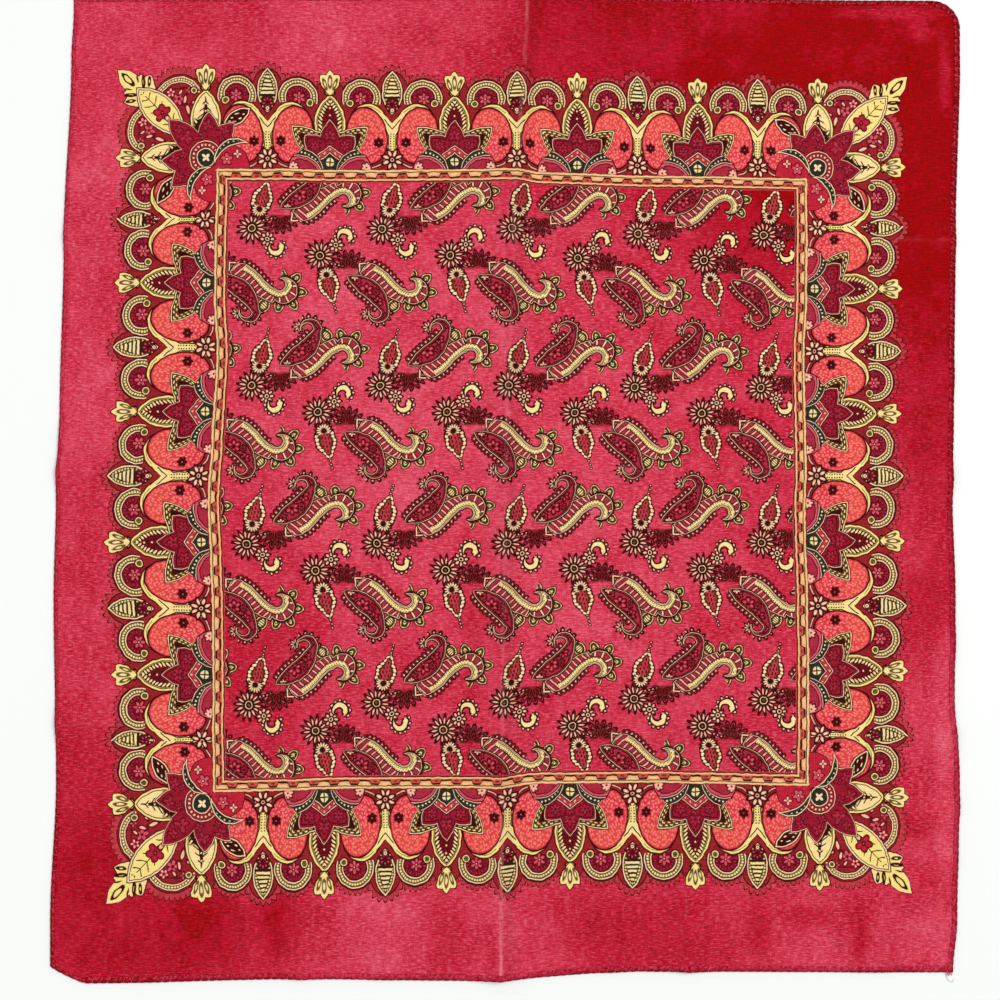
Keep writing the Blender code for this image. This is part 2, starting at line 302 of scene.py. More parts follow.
inks = {
    "cream": screenColour(252, 212, 168),
    "yellow": screenColour(246, 218, 130),
    "straw": screenColour(246, 216, 150),
    "olive": screenColour(98, 80, 34),
    "bottle": screenColour(38, 44, 34),
    "bark": screenColour(54, 12, 4),
    "line": screenColour(76, 12, 14),
    "maroon": screenColour(146, 22, 42),
    "plum": screenColour(166, 40, 60),
    "wine": screenColour(96, 10, 24),
    "russet": screenColour(146, 32, 38),
    "brick": screenColour(186, 56, 64),
    "ruby": screenColour(184, 32, 52),
    "rose": screenColour(212, 82, 96),
    "petal": screenColour(246, 182, 154),
    "coral": screenColour(214, 54, 72),
    "coralLight": screenColour(242, 122, 106),
    "flame": screenColour(226, 82, 64),
    "blush": screenColour(246, 196, 166),
    "sand": screenColour(240, 190, 132),
    "orange": screenColour(232, 168, 114),
    "rust": screenColour(188, 82, 64),
}


class Value:  # one number in a node tree, so that a shape can be written as a sum
    def __init__(self, tree, socket):
        self.tree, self.socket = tree, socket

    def __add__(self, other):
        return number(self.tree, "ADD", self, other)

    def __sub__(self, other):
        return number(self.tree, "SUBTRACT", self, other)

    def __rsub__(self, other):
        return number(self.tree, "SUBTRACT", other, self)

    def __mul__(self, other):
        return number(self.tree, "MULTIPLY", self, other)

    def __neg__(self):
        return number(self.tree, "MULTIPLY", self, -1.0)

    def __abs__(self):
        return number(self.tree, "ABSOLUTE", self)

    def orElse(self, other):  # the shape that is either one
        return number(self.tree, "MINIMUM", self, other)

    def andAlso(self, other):  # what the two shapes share
        return number(self.tree, "MAXIMUM", self, other)

    def folded(self, length):  # up to the length and back again, for ever
        return number(self.tree, "PINGPONG", self, length)

    def wrapped(self, low, high):
        return number(self.tree, "WRAP", self, high, low)

    def share(self, low, high):  # 0 at the low end and 1 at the high end
        node = addNode(self.tree, "ShaderNodeMapRange", {"Value": self, "From Min": low, "From Max": high})
        return Value(self.tree, node.outputs["Result"])

    def over(self, level, soft=0.15):  # a mask
        return self.share(level - soft, level + soft)

    def under(self, level, soft=0.15):
        return self.share(level + soft, level - soft)

    def curve(self, points, handle="VECTOR"):  # a line through (place, value) points, from place 0 on
        span = points[-1][0]
        scale = max(abs(value) for _, value in points) * 2.2
        node = self.tree.nodes.new("ShaderNodeFloatCurve")
        line = node.mapping.curves[0]
        for place, value in points[1:-1]:
            line.points.new(place / span, 0.5 + value / scale)
        line.points[0].location = (0.0, 0.5 + points[0][1] / scale)
        line.points[len(points) - 1].location = (1.0, 0.5 + points[-1][1] / scale)
        for point in line.points:
            point.handle_type = handle
        node.mapping.update()
        wire(self.tree, self * (1.0 / span), node.inputs["Value"])
        read = Value(self.tree, node.outputs["Value"])
        return number(self.tree, "MULTIPLY_ADD", read, scale, -0.5 * scale)


class Point:  # a place on the flat cloth, in millimetres
    def __init__(self, tree, socket):
        self.tree, self.socket = tree, socket
        self.parts = None

    def split(self):  # by dot products, because each Separate XYZ keeps a place on the renderer's stack
        if self.parts is None:
            axes = (1.0, 0.0, 0.0), (0.0, 1.0, 0.0)
            self.parts = [arrow(self.tree, "DOT_PRODUCT", self, axis, "Value") for axis in axes]
        return self.parts

    def seenFrom(self, place=(0.0, 0.0), turn=0.0, stretch=(1.0, 1.0)):
        sources = {"Vector": self, "Location": (*place, 0.0), "Rotation": (0.0, 0.0, math.radians(turn)),
                   "Scale": (*stretch, 1.0)}
        node = addNode(self.tree, "ShaderNodeMapping", sources, vector_type="TEXTURE")
        return Point(self.tree, node.outputs[0])

    def away(self, place):
        return arrow(self.tree, "DISTANCE", self, (*place, 0.0), "Value")

    def reach(self):
        return arrow(self.tree, "LENGTH", self, None, "Value")

    def mirrored(self):
        return Point(self.tree, arrow(self.tree, "ABSOLUTE", self, None, "Vector").socket)

    def bearing(self):  # in turns from straight up, positive towards +X
        x, y = self.split()
        return number(self.tree, "ARCTAN2", x, y) * (0.5 / math.pi)

    def disc(self, place, radius):
        return self.away(place) - radius

    def oval(self, place, turn, halfWidth, halfLength):  # its edge is measured across the middle
        return self.seenFrom(place, turn, (1.0, halfLength / halfWidth)).reach() - halfWidth

    def leaf(self, place, turn, halfLength, halfWidth):
        radius = (halfLength ** 2 + halfWidth ** 2) / (2.0 * halfWidth)
        return self.seenFrom(place, turn).mirrored().away((halfWidth - radius, 0.0)) - radius

    def rays(self, place, count, turn=0.0, stretch=(1.0, 1.0)):  # how far out, and off the nearest ray
        spot = self.seenFrom(place, turn, stretch)
        out = spot.reach()
        side = (spot.bearing() * float(count)).folded(0.5)
        return out, side * out * (2.0 * math.pi / count)

    def star(self, place, outline, turn=0.0):  # by (turns from the axis, radius), alike on both sides
        spot = self.seenFrom(place, turn)
        return spot.reach() - abs(spot.bearing()).curve(outline)


def wire(tree, source, slot):
    if isinstance(source, (Value, Point)):
        tree.links.new(source.socket, slot)
    elif isinstance(source, bpy.types.NodeSocket):
        tree.links.new(source, slot)
    elif source is not None:
        slot.default_value = source


def addNode(tree, kind, sources=None, **settings):  # sources are values or links, by the names of its inputs
    node = tree.nodes.new(kind)
    for name, value in settings.items():
        setattr(node, name, value)
    for name, source in (sources or {}).items():
        wire(tree, source, node.inputs[name])
    return node


def number(tree, operation, *sources):
    node = addNode(tree, "ShaderNodeMath", dict(enumerate(sources)), operation=operation)
    return Value(tree, node.outputs[0])


def arrow(tree, operation, first, second, output):
    node = addNode(tree, "ShaderNodeVectorMath", {0: first, 1: second}, operation=operation)
    return Value(tree, node.outputs[output])


def joined(x, y, squash=(1.0, 1.0)):  # a point whose sides are each made longer or shorter
    sides = {i: side if long == 1.0 else side * long for i, (side, long) in enumerate(zip((x, y), squash))}
    return Point(x.tree, addNode(x.tree, "ShaderNodeCombineXYZ", sides).outputs[0])


def blend(tree, mask, under, over, way="MIX"):
    sources = {0: mask, 6: under, 7: over}  # its colour inputs come after those for numbers and vectors
    return addNode(tree, "ShaderNodeMix", sources, data_type="RGBA", blend_type=way).outputs[2]


class Sketch:  # prints shapes over a colour
    soft = 0.12  # how far an edge bleeds
    dark = ("bark", "line", "wine")
    spread = 0.1  # how far these outlines run into what is beside them

    def __init__(self, point, colour):
        self.tree, self.point, self.colour = point.tree, point, colour

    def ink(self, measure, *coats, within=None):  # coats are (edge, ink), the widest first
        soft = self.soft
        around = [None] + [name for _, name in coats]
        coats = [(edge + self.spread * ((name in self.dark) - (before in self.dark)), name)
                 for (edge, name), before in zip(coats, around)]
        if len(coats) == 1:
            mask, paint = measure.under(coats[0][0], soft), inks[coats[0][1]]
        else:
            outer, inner = coats[0][0] + soft, coats[-1][0] - soft
            depth = outer - inner
            node = self.tree.nodes.new("ShaderNodeValToRGB")
            stops = node.color_ramp.elements
            stops[0].position, stops[0].color = 0.0, inks[coats[0][1]][:3] + (0.0,)
            stops[1].position, stops[1].color = 2.0 * soft / depth, inks[coats[0][1]]
            for (_, before), (edge, after) in zip(coats, coats[1:]):
                stops.new((outer - edge - soft) / depth).color = inks[before]
                stops.new((outer - edge + soft) / depth).color = inks[after]
            wire(self.tree, measure.share(outer, inner), node.inputs[0])
            mask, paint = Value(self.tree, node.outputs["Alpha"]), node.outputs["Color"]
        if within is not None:
            mask = mask * within
        self.colour = blend(self.tree, mask, self.colour, paint)

    def beads(self, place, radius, count, size, *coats, within=None):  # round a circle
        out, side = self.point.rays(place, count)
        self.ink(joined(out - radius, side).reach() - size, *coats, within=within)

    def bloom(self, place, count, middle, length, width, *coats, turn=0.0, within=None):  # a ring of petals
        out, side = self.point.rays(place, count, turn)
        petal = joined(out - middle, side, (width / length, 1.0)).reach() - width
        self.ink(petal, *coats, within=within)

    def spot(self, place, *coats, within=None):
        self.ink(self.point.away(place), *coats, within=within)

    def line(self, measure, ink, width=0.3, within=None):  # along a shape's edge
        self.ink(abs(measure), (width, ink), within=within)


def newGroup(name, takes, gives, kind="ShaderNodeTree"):  # with the sockets to read from and to write to
    group = bpy.data.node_groups.new(name, kind)
    for way, sockets in (("INPUT", takes), ("OUTPUT", gives)):
        for socketName, socketKind in sockets.items():
            group.interface.new_socket(socketName, in_out=way, socket_type="NodeSocket" + socketKind)
    return group, group.nodes.new("NodeGroupInput").outputs, group.nodes.new("NodeGroupOutput").inputs


def unsteady(point, amount=0.16, size=3.4):  # the slight wander of a printed line
    node = addNode(point.tree, "ShaderNodeTexNoise", {"Vector": point, "Scale": 1.0 / size, "Detail": 0.0},
                   noise_dimensions="2D")
    off = arrow(point.tree, "SUBTRACT", node.outputs["Color"], (0.5, 0.5, 0.5), "Vector")
    off = arrow(point.tree, "MULTIPLY", off, (4.0 * amount, 4.0 * amount, 0.0), "Vector")
    return Point(point.tree, arrow(point.tree, "ADD", point, off, "Vector").socket)


# The border's repeat, from the middle of a forked stem: x runs along the edge and y outward from the frame.
half = printed["unit"] / 2.0
fringe = {"loop": 3.0, "count": 29, "lancetCount": 19, "stretch": 1.35, "foot": 44.0}
arch = {
    "centre": (17.9, 41.4),
    "outside": 11.6,
    "ring": 9.2,
    "ground": 8.0,
    "floor": 38.2,  # the band stops here
    "beads": 36,
    "hook": (24.6, 38.6),
    "flower": (18.4, 41.4),
    "coats": ((2.6, "bark"), (2.1, "cream"), (1.45, "olive")),
    "hookCoats": ((2.6, "bark"), (2.1, "straw"), (1.5, "olive")),
}
lancet = {"middle": (0.0, 45.0), "halfLength": 12.7, "halfWidth": 5.9, "fringe": 9.0}
fork = {
    "comma": ((14.7, 19.8), -11.0, 11.4, 16.3),
    "arm": ((13.2, 21.5), -9.0, 12.3, 16.8),
    "stem": 1.8,
    "split": 23.6,
    "flower": (7.9, 15.7),
    "speckle": 1.8,
}
leafTip = {"height": 16.0, "halfLength": 17.0, "halfWidth": 8.8, "heart": 12.0, "low": 16.5, "treeTop": 29.0}
tulip = {
    "height": 6.8,
    "outline": ((0.0, 7.5), (0.07, 5.0), (0.14, 7.0), (0.25, 5.0), (0.4, 4.5), (0.5, 7.0)),
}
palmette = {
    "foot": 4.0,
    "horns": ((0.0, 15.0), (0.07, 20.0), (0.13, 30.0), (0.18, 19.0), (0.24, 8.0), (0.5, 4.0)),
    "lobes": ((0.0, 24.5), (0.055, 16.0), (0.12, 21.0), (0.2, 12.0), (0.5, 4.0)),
    "chevronTop": 14.0,
    "chevronFall": 0.74,
    "chevronWidth": 8.0,
    "flowers": ((0.0, 19.4, 1.25), (0.0, 14.6, 0.9), (8.6, 13.8, 1.0), (-8.6, 13.8, 1.0)),  # along, up, size
}
wing = {"outer": (17.6, -2.0), "outerRadius": 13.9, "inner": (17.8, -6.5), "innerRadius": 14.2,
        "end": ((10.4, -1.4), 13.6), "beads": ((17.7, -4.2), 14.0, 40, 0.5)}
daisy = {"middle": (0.0, 5.7), "count": 8}


def fringeLoop(point, place, radius, count, stretch=1.0):  # its edge, and how near the gap between two loops
    out, side = point.rays(place, count, 0.0, (1.0, stretch))
    end = radius + fringe["loop"]
    share = side * (count / (math.pi * end))
    return out + share * share * fringe["loop"] - end, share


def printGround(sketch):
    y = sketch.point.split()[1]
    for place, radius, loops, stretch in ((arch["centre"], arch["outside"], fringe["count"], 1.0),
                                          (lancet["middle"], lancet["fringe"], fringe["lancetCount"],
                                           fringe["stretch"])):
        loop, share = fringeLoop(sketch.point, place, radius, loops, stretch)
        sketch.ink(loop, (0.5, "bark"), (0.0, "brick"), (-2.2, "russet"), within=y.over(fringe["foot"]))
        sketch.ink(loop, (0.1, "bark"), within=share.over(0.84, 0.08) * y.over(fringe["foot"] + 1.0) * 0.8)
    ground = (y - 45.5).orElse(sketch.point.disc(arch["centre"], arch["outside"] + 0.4))
    ground = ground.orElse(sketch.point.oval(lancet["middle"], 0.0, lancet["fringe"], 12.0))
    ground = ground.orElse(sketch.point.disc((half, 45.5), 7.5))
    sketch.ink(ground, (0.35, "line"), (0.0, "russet"))


def printArch(sketch):
    y = sketch.point.split()[1]
    out = sketch.point.away(arch["centre"])
    sketch.ink(out, (arch["ground"], "maroon"))
    sketch.bloom(arch["flower"], 6, 2.2, 1.4, 0.8, (0.6, "wine"), (0.0, "rose"))
    sketch.bloom(arch["flower"], 9, 5.4, 1.2, 0.7, (0.35, "wine"), (-0.1, "plum"), within=y.over(38.5))
    sketch.spot(arch["flower"], (0.8, "wine"), (0.5, "petal"))
    above = y.over(arch["floor"])
    sketch.ink(abs(out - arch["ring"]), *arch["coats"], within=above)
    sketch.beads(arch["centre"], arch["ring"], arch["beads"], 0.62, (0.0, "straw"), within=above)
    sketch.spot(arch["hook"], *arch["hookCoats"])


def printFork(sketch):
    x, y = sketch.point.split()
    comma = sketch.point.oval(*fork["comma"])
    sketch.ink(abs(comma - 1.9), (0.55, "line"), (0.3, "petal"), within=y.under(14.0) * x.over(3.0))
    arm = sketch.point.oval(*fork["arm"])
    sketch.ink(arm.andAlso(-3.0 - comma), (0.5, "bark"), (0.05, "yellow"), (-0.9, "olive"), (-1.2, "yellow"),
               within=y.over(13.0))
    widening = (y - 20.0).andAlso(0.0) * 0.5
    stem = (x - widening - fork["stem"]).andAlso(y - x * 1.1 - 27.0).andAlso(11.0 - y)
    sketch.ink(stem, (0.5, "bark"), (0.05, "yellow"), (-1.3, "straw"), within=y.under(33.0))
    sketch.line((y - fork["split"]) - x * 1.2, "bark", 0.4, within=y.over(23.5) * x.under(4.8))
    dots = joined(x - 0.9, y.folded(0.75)).reach()
    sketch.ink(dots, (0.33, "bark"), within=y.under(22.0) * y.over(9.0))
    sketch.ink(comma, (0.55, "bark"), (0.0, "coral"))
    sketch.ink(comma, (-0.6, "flame"), within=y.share(14.0, 30.0) * 0.6)
    sources = {"Vector": sketch.point.seenFrom((0.0, 0.0), 28.0, (0.85, 1.25)),
               "Scale": 1.0 / fork["speckle"], "Randomness": 0.7}
    speck = addNode(sketch.tree, "ShaderNodeTexVoronoi", sources, voronoi_dimensions="2D")
    speckle = Value(sketch.tree, speck.outputs["Distance"]) * fork["speckle"]
    sketch.ink(speckle, (0.6, "coralLight"), within=comma.under(-0.7))
    sketch.bloom(fork["flower"], 6, 1.5, 1.1, 0.85, (0.35, "wine"), (-0.1, "bark"))
    sketch.spot(fork["flower"], (0.9, "bark"), (0.5, "rose"))


def printLancet(sketch):
    x, y = sketch.point.split()
    leaf = sketch.point.leaf(lancet["middle"], 0.0, lancet["halfLength"], lancet["halfWidth"])
    sketch.ink(leaf, (0.6, "bark"), (0.1, "cream"), (-0.65, "olive"), (-2.7, "bark"), (-3.0, "bottle"))
    sketch.ink(joined(leaf + 1.75, y.folded(0.85)).reach(), (0.5, "straw"))
    ladder = (abs(x) * 3.0 + y - 56.5).andAlso(42.0 - y)
    sketch.ink(ladder, (0.3, "bark"), (-0.3, "bottle"))
    sketch.ink((y + 0.3).folded(1.15) - 0.62, (0.0, "straw"), within=ladder.under(-0.7))
    sketch.bloom((0.0, 37.8), 7, 2.3, 1.6, 1.05, (0.35, "bark"), (-0.05, "wine"), (-0.6, "rose"))
    sketch.spot((0.0, 34.6), (1.5, "bark"), (1.1, "cream"), (0.5, "rose"))


def printLeafTip(sketch, axis, foot, twigged=False):
    middle = foot + leafTip["height"]
    leaf = sketch.point.leaf((axis, middle), 0.0, leafTip["halfLength"], leafTip["halfWidth"])
    inside = leaf.under(-1.9)
    sketch.ink(leaf, (0.6, "bark"), (0.1, "yellow"), (-1.05, "bark"), (-1.35, "straw"))
    x, y = sketch.point.seenFrom((axis, foot)).mirrored().split()
    low = y.under(leafTip["low"], 0.6) if twigged else None
    sketch.ink(leaf, (-1.7, "bark"), (-4.4, "bark" if twigged else "wine"), within=low)
    cells = joined((leaf + 3.1) * 0.6, (y - x * 0.9).folded(1.2)).reach()
    sketch.ink(cells, (0.7, "straw"), within=inside * low if twigged else inside)
    heart = (axis, foot + leafTip["heart"])
    if twigged:
        fromTop = y - leafTip["treeTop"]
        trunk = (x + fromTop * 0.12 - 0.1).orElse(x + (y - 20.5) * 0.75)
        twigs = ((y + x * 0.7).folded(1.45) - 0.3).andAlso(x + fromTop * 0.4)
        sketch.ink(trunk.orElse(twigs).andAlso(fromTop), (0.05, "bark"), within=leaf.under(-2.1))
        sketch.spot(heart, (4.4, "bark"), within=inside)
        sketch.beads(heart, 3.4, 9, 0.5, (0.0, "petal"), within=inside)
    else:
        sketch.bloom(heart, 6, 3.2, 2.2, 1.1, (0.0, "maroon"), (-0.5, "rose"), within=inside)
    sketch.ink(joined(x, y.folded(2.1)).reach(), (0.5, "straw"), within=inside * y.over(13.0) * y.under(26.0))


def printTulip(sketch, axis, foot):
    middle = (axis, foot + tulip["height"])
    sketch.ink(sketch.point.oval((axis, foot + 0.9), 90.0, 1.2, 2.4), (0.5, "bark"), (0.0, "yellow"))
    sketch.ink(sketch.point.star(middle, tulip["outline"]), (0.55, "bark"), (0.05, "yellow"), (-1.0, "straw"))
    sketch.line(sketch.point.oval((axis, middle[1] + 0.6), 0.0, 1.0, 3.2), "olive", 0.34)
    x, y = sketch.point.seenFrom(middle).split()
    either = joined(abs(x), y)
    sketch.line(either.oval((2.9, -0.7), -18.0, 0.8, 2.8), "olive", 0.34)


def printPalmette(sketch, axis):
    foot = (axis, palmette["foot"])
    horn = sketch.point.star(foot, palmette["horns"])
    sketch.ink(horn, (0.85, "bark"), (0.4, "straw"), (-0.45, "bark"), (-1.0, "olive"), (-5.4, "bark"))
    far = sketch.point.away(foot)
    for deep, size, ink in ((2.0, 0.74, "straw"), (4.2, 0.72, "sand")):
        sketch.ink(joined(horn + deep, far.folded(1.15)).reach(), (1.0, "bark"), (size, ink))
    lobe = sketch.point.star(foot, palmette["lobes"])
    sketch.ink(lobe, (1.05, "bark"), (0.6, "blush"), (-0.05, "bark"), (-0.35, "maroon"))
    sketch.line(lobe + 1.7, "bark", 0.3)
    for along, up, size in palmette["flowers"]:
        sketch.bloom((axis + along, up), 6, 1.7 * size, 1.3 * size, 0.7 * size, (0.35, "wine"),
                     (-0.05, "plum"), within=lobe.under(-1.4))
    x, y = sketch.point.split()
    aside = abs(x - axis)
    chevron = (y + aside * palmette["chevronFall"] - palmette["chevronTop"]) * 0.8
    within = aside.under(palmette["chevronWidth"]) * y.over(0.3)
    sketch.ink(chevron, (0.5, "bark"), (0.1, "blush"), (-0.5, "bark"), (-0.75, "brick"), (-2.9, "bark"),
               (-3.25, "blush"), (-3.85, "bark"), (-4.2, "bottle"), within=within)
    sketch.ink(joined(chevron + 1.8, aside.folded(1.5)).reach(), (0.5, "petal"), within=within)
    cross = sketch.point.seenFrom((axis, 4.2)).mirrored()
    across, up = cross.split()
    near = across.orElse(up)
    sketch.ink(cross.reach(), (2.4, "straw"))
    sketch.ink((near - 0.25).andAlso(cross.reach() - 2.4), (0.1, "bottle"))


def printWings(sketch, axis):
    x, y = sketch.point.split()
    either = joined(abs(x - axis), y)
    outer = either.disc(wing["outer"], wing["outerRadius"])
    inner = either.disc(wing["inner"], wing["innerRadius"])
    end = either.disc(*wing["end"])
    inside = end.under(0.0) * y.over(0.3)
    under = inner.andAlso(end)
    sketch.ink(under, (0.5, "bark"), (0.0, "rose"), (-1.9, "line"), (-2.3, "plum"), within=y.over(0.2))
    sketch.bloom((15.0, 1.2), 7, 1.7, 1.3, 0.8, (0.45, "wine"), (0.0, "petal"), within=under.under(-0.6))
    sketch.bloom((9.4, 1.0), 5, 1.0, 0.8, 0.6, (0.35, "wine"), (0.0, "rose"), within=under.under(-0.6))
    shape = outer.andAlso(-inner)
    sketch.ink(shape, (0.6, "bark"), (0.2, "blush"), (-0.25, "bottle"), within=inside)
    sketch.beads(*wing["beads"], (0.0, "cream"), within=inside * shape.under(-0.9))


def printDaisy(sketch):
    place, count = daisy["middle"], daisy["count"]
    sketch.bloom(place, count, 3.9, 1.8, 0.88, (0.6, "bark"), (0.0, "petal"), (-0.5, "cream"),
                 turn=180.0 / count)
    sketch.spot(place, (1.7, "bark"), (1.1, "petal"), (0.5, "bark"))


def printBorder(sketch):
    printGround(sketch)
    printArch(sketch)
    printFork(sketch)
    printLancet(sketch)
    printLeafTip(sketch, half, 10.5)
    printTulip(sketch, half, 43.6)
    printPalmette(sketch, half)
    printWings(sketch, half)
    printDaisy(sketch)


# The chain in the frame: x runs along it and y outward from its inner line.
chain = {
    "link": 6.05,
    "low": 3.1,
    "high": 5.3,
    "rails": ((8.4, "line"), (7.8, "sand"), (6.45, "bark"), (6.1, "orange"), (1.95, "sand"), (1.25, "line"),
              (0.75, "brick")),
}


def printFrame(sketch):
    x, y = sketch.point.split()
    fold = x.folded(chain["link"])
    sketch.ink(y, *chain["rails"])
    sketch.ink(joined(fold * 0.35, y - 5.1).reach(), (0.8, "sand"))
    wave = y - chain["low"] - fold.share(2.8, 3.9) * (chain["high"] - chain["low"])
    sketch.ink(wave.andAlso(2.3 - y), (0.0, "rust"))
    sketch.ink(joined((chain["link"] - fold) * 0.5, y - 3.5).reach(), (0.6, "russet"))
    sketch.line(wave, "bark", 0.42)


# The corner: x and y run outward from the frame's corner, folded over its diagonal so that y is the longer.
corner = {
    "back": printed["cornerInset"],
    "leafAxis": 6.25,
    "arc": (22.8, 37.2),
    "arcRadius": 13.5,
    "arcHook": (13.4, 44.0),
    "loops": 38,
    "pole": (6.0, 6.0),
    "lobes": ((0.0, 31.0), (0.075, 14.5), (0.135, 25.5), (0.19, 19.0), (0.235, 25.5), (0.265, 20.0),
              (0.32, 17.0), (0.5, 12.0)),
    "flowers": (((17.6, 17.6), 1.2), ((22.4, 22.4), 0.8), ((5.2, 24.4), 1.0), ((7.6, 18.6), 0.7),
                ((-5.0, 21.6), 0.9), ((-3.0, 17.0), 0.6)),  # place and size
    "seeds": (((18.8, 39.2), 12.0, 0.85, 2.1), ((16.8, 33.2), -16.0, 0.9, 2.6),
              ((21.4, 43.4), 30.0, 0.7, 1.4), ((13.4, 37.2), 60.0, 0.6, 1.3)),
    "wing": {"outer": (-11.2, 4.8), "outerRadius": 12.0, "inner": (-16.3, -3.9), "innerRadius": 18.5,
             "beads": ((-13.0, 1.4), 14.6, 30, 0.5)},
    "wingFlower": (-6.2, 5.2),
}
bigLeaf = {  # on the corner's diagonal
    "middle": (0.0, 47.2),
    "halfLength": 20.4,
    "halfWidth": 8.6,
    "flower": (0.0, 45.6),
    "veins": 2.6,  # from one to the next
    "finialMiddle": (0.0, 63.0),
    "finial": ((0.0, 21.0), (0.085, 10.0), (0.11, 11.0), (0.15, 9.0), (0.19, 11.5), (0.27, 8.5), (0.5, 6.0)),
    "eyes": (((0.0, 75.6), 0.0, 1.4, 4.4), ((5.2, 67.6), -42.0, 0.85, 2.6), ((7.7, 65.0), -48.0, 0.8, 2.2)),
    "slits": (((4.0, 71.4), -34.0), ((6.3, 68.2), -50.0)),
}


def printCorner(sketch):
    flat = sketch.point
    x, y = flat.split()
    beside = joined(x + corner["back"], y)
    sketch.point = beside
    ring = (corner["arc"][0] + corner["back"], corner["arc"][1])
    radius = corner["arcRadius"] + 4.2
    loop, share = fringeLoop(beside, ring, radius, corner["loops"])
    sketch.ink(loop, (0.5, "bark"), (0.0, "brick"), within=y.over(40.0))
    sketch.ink(loop, (0.1, "bark"), within=share.over(0.84, 0.08) * y.over(41.0) * 0.8)
    sketch.ink(beside.disc(ring, radius - 1.4), (0.35, "line"), (0.0, "russet"), within=y.over(30.0))
    printGround(sketch)
    printArch(sketch)
    printFork(sketch)
    printLancet(sketch)
    axis = corner["leafAxis"] + corner["back"]
    sketch.point = flat
    band = flat.away(corner["arc"]) - corner["arcRadius"]
    sketch.bloom((27.4, 43.4), 5, 1.7, 1.2, 0.9, (0.4, "wine"), (0.0, "rose"), (-0.45, "petal"))
    sketch.bloom((22.4, 39.6), 5, 2.2, 1.5, 1.0, (0.4, "wine"), (0.0, "rose"), turn=20.0)
    sketch.bloom((16.4, 44.4), 4, 1.2, 0.9, 0.6, (0.3, "wine"), (0.0, "rose"))
    for seed in corner["seeds"]:
        sketch.ink(sketch.point.oval(*seed), (0.5, "wine"), (0.0, "petal"))
    above = y.over(42.8) * x.over(10.0)
    sketch.ink(abs(band), (2.15, "bark"), (1.75, "cream"), (1.1, "olive"), within=above)
    sketch.beads(corner["arc"], corner["arcRadius"], 50, 0.6, (0.0, "straw"), within=above)
    sketch.spot(corner["arcHook"], (2.4, "bark"), (1.9, "straw"), (1.3, "olive"))
    sketch.point = beside
    printLeafTip(sketch, axis, 11.4, True)
    printTulip(sketch, axis, 44.5)
    sketch.point = flat.seenFrom((0.0, 0.0), -45.0)
    printBigLeaf(sketch)
    sketch.point = flat
    printCornerHeart(sketch)
    sketch.point = beside
    printDaisy(sketch)


def printBigLeaf(sketch):  # the diagonal is straight up here
    x, y = sketch.point.mirrored().split()
    finial = sketch.point.star(bigLeaf["finialMiddle"], bigLeaf["finial"])
    sketch.ink(finial, (0.6, "bark"), (0.15, "cream"), (-0.5, "yellow"))
    either = joined(x, y)
    for eye in bigLeaf["eyes"]:
        sketch.line(either.oval(*eye), "bark", 0.3)
    for place, turn in bigLeaf["slits"]:
        sketch.ink(either.leaf(place, turn, 2.2, 0.3), (0.1, "bark"))
    leaf = sketch.point.leaf(bigLeaf["middle"], 0.0, bigLeaf["halfLength"], bigLeaf["halfWidth"])
    sketch.ink(leaf, (0.6, "bark"), (0.2, "cream"), (-0.75, "bark"), (-1.05, "yellow"))
    inside = leaf.under(-1.9) * y.over(31.0)
    vein = (y - x * 0.8).folded(bigLeaf["veins"])
    sketch.ink((vein - 0.1).andAlso(x - 4.4).andAlso(0.5 - x), (0.16, "bark"), within=inside)
    sketch.ink(x - 0.05, (0.12, "bark"), within=inside * y.under(60.5))
    knot = joined((x - 3.0).folded(2.2), vein).reach()
    sketch.ink(knot, (0.42, "bark"), within=inside * x.over(2.4))
    sketch.bloom(bigLeaf["flower"], 5, 2.9, 2.1, 1.9, (0.4, "bark"), (0.0, "maroon"), (-0.8, "ruby"),
                 turn=36.0)
    sketch.spot(bigLeaf["flower"], (1.1, "bark"), (0.6, "rose"))
    sketch.ink(sketch.point.oval((0.0, 40.6), 0.0, 1.1, 1.9), (0.5, "bark"), (0.0, "petal"))


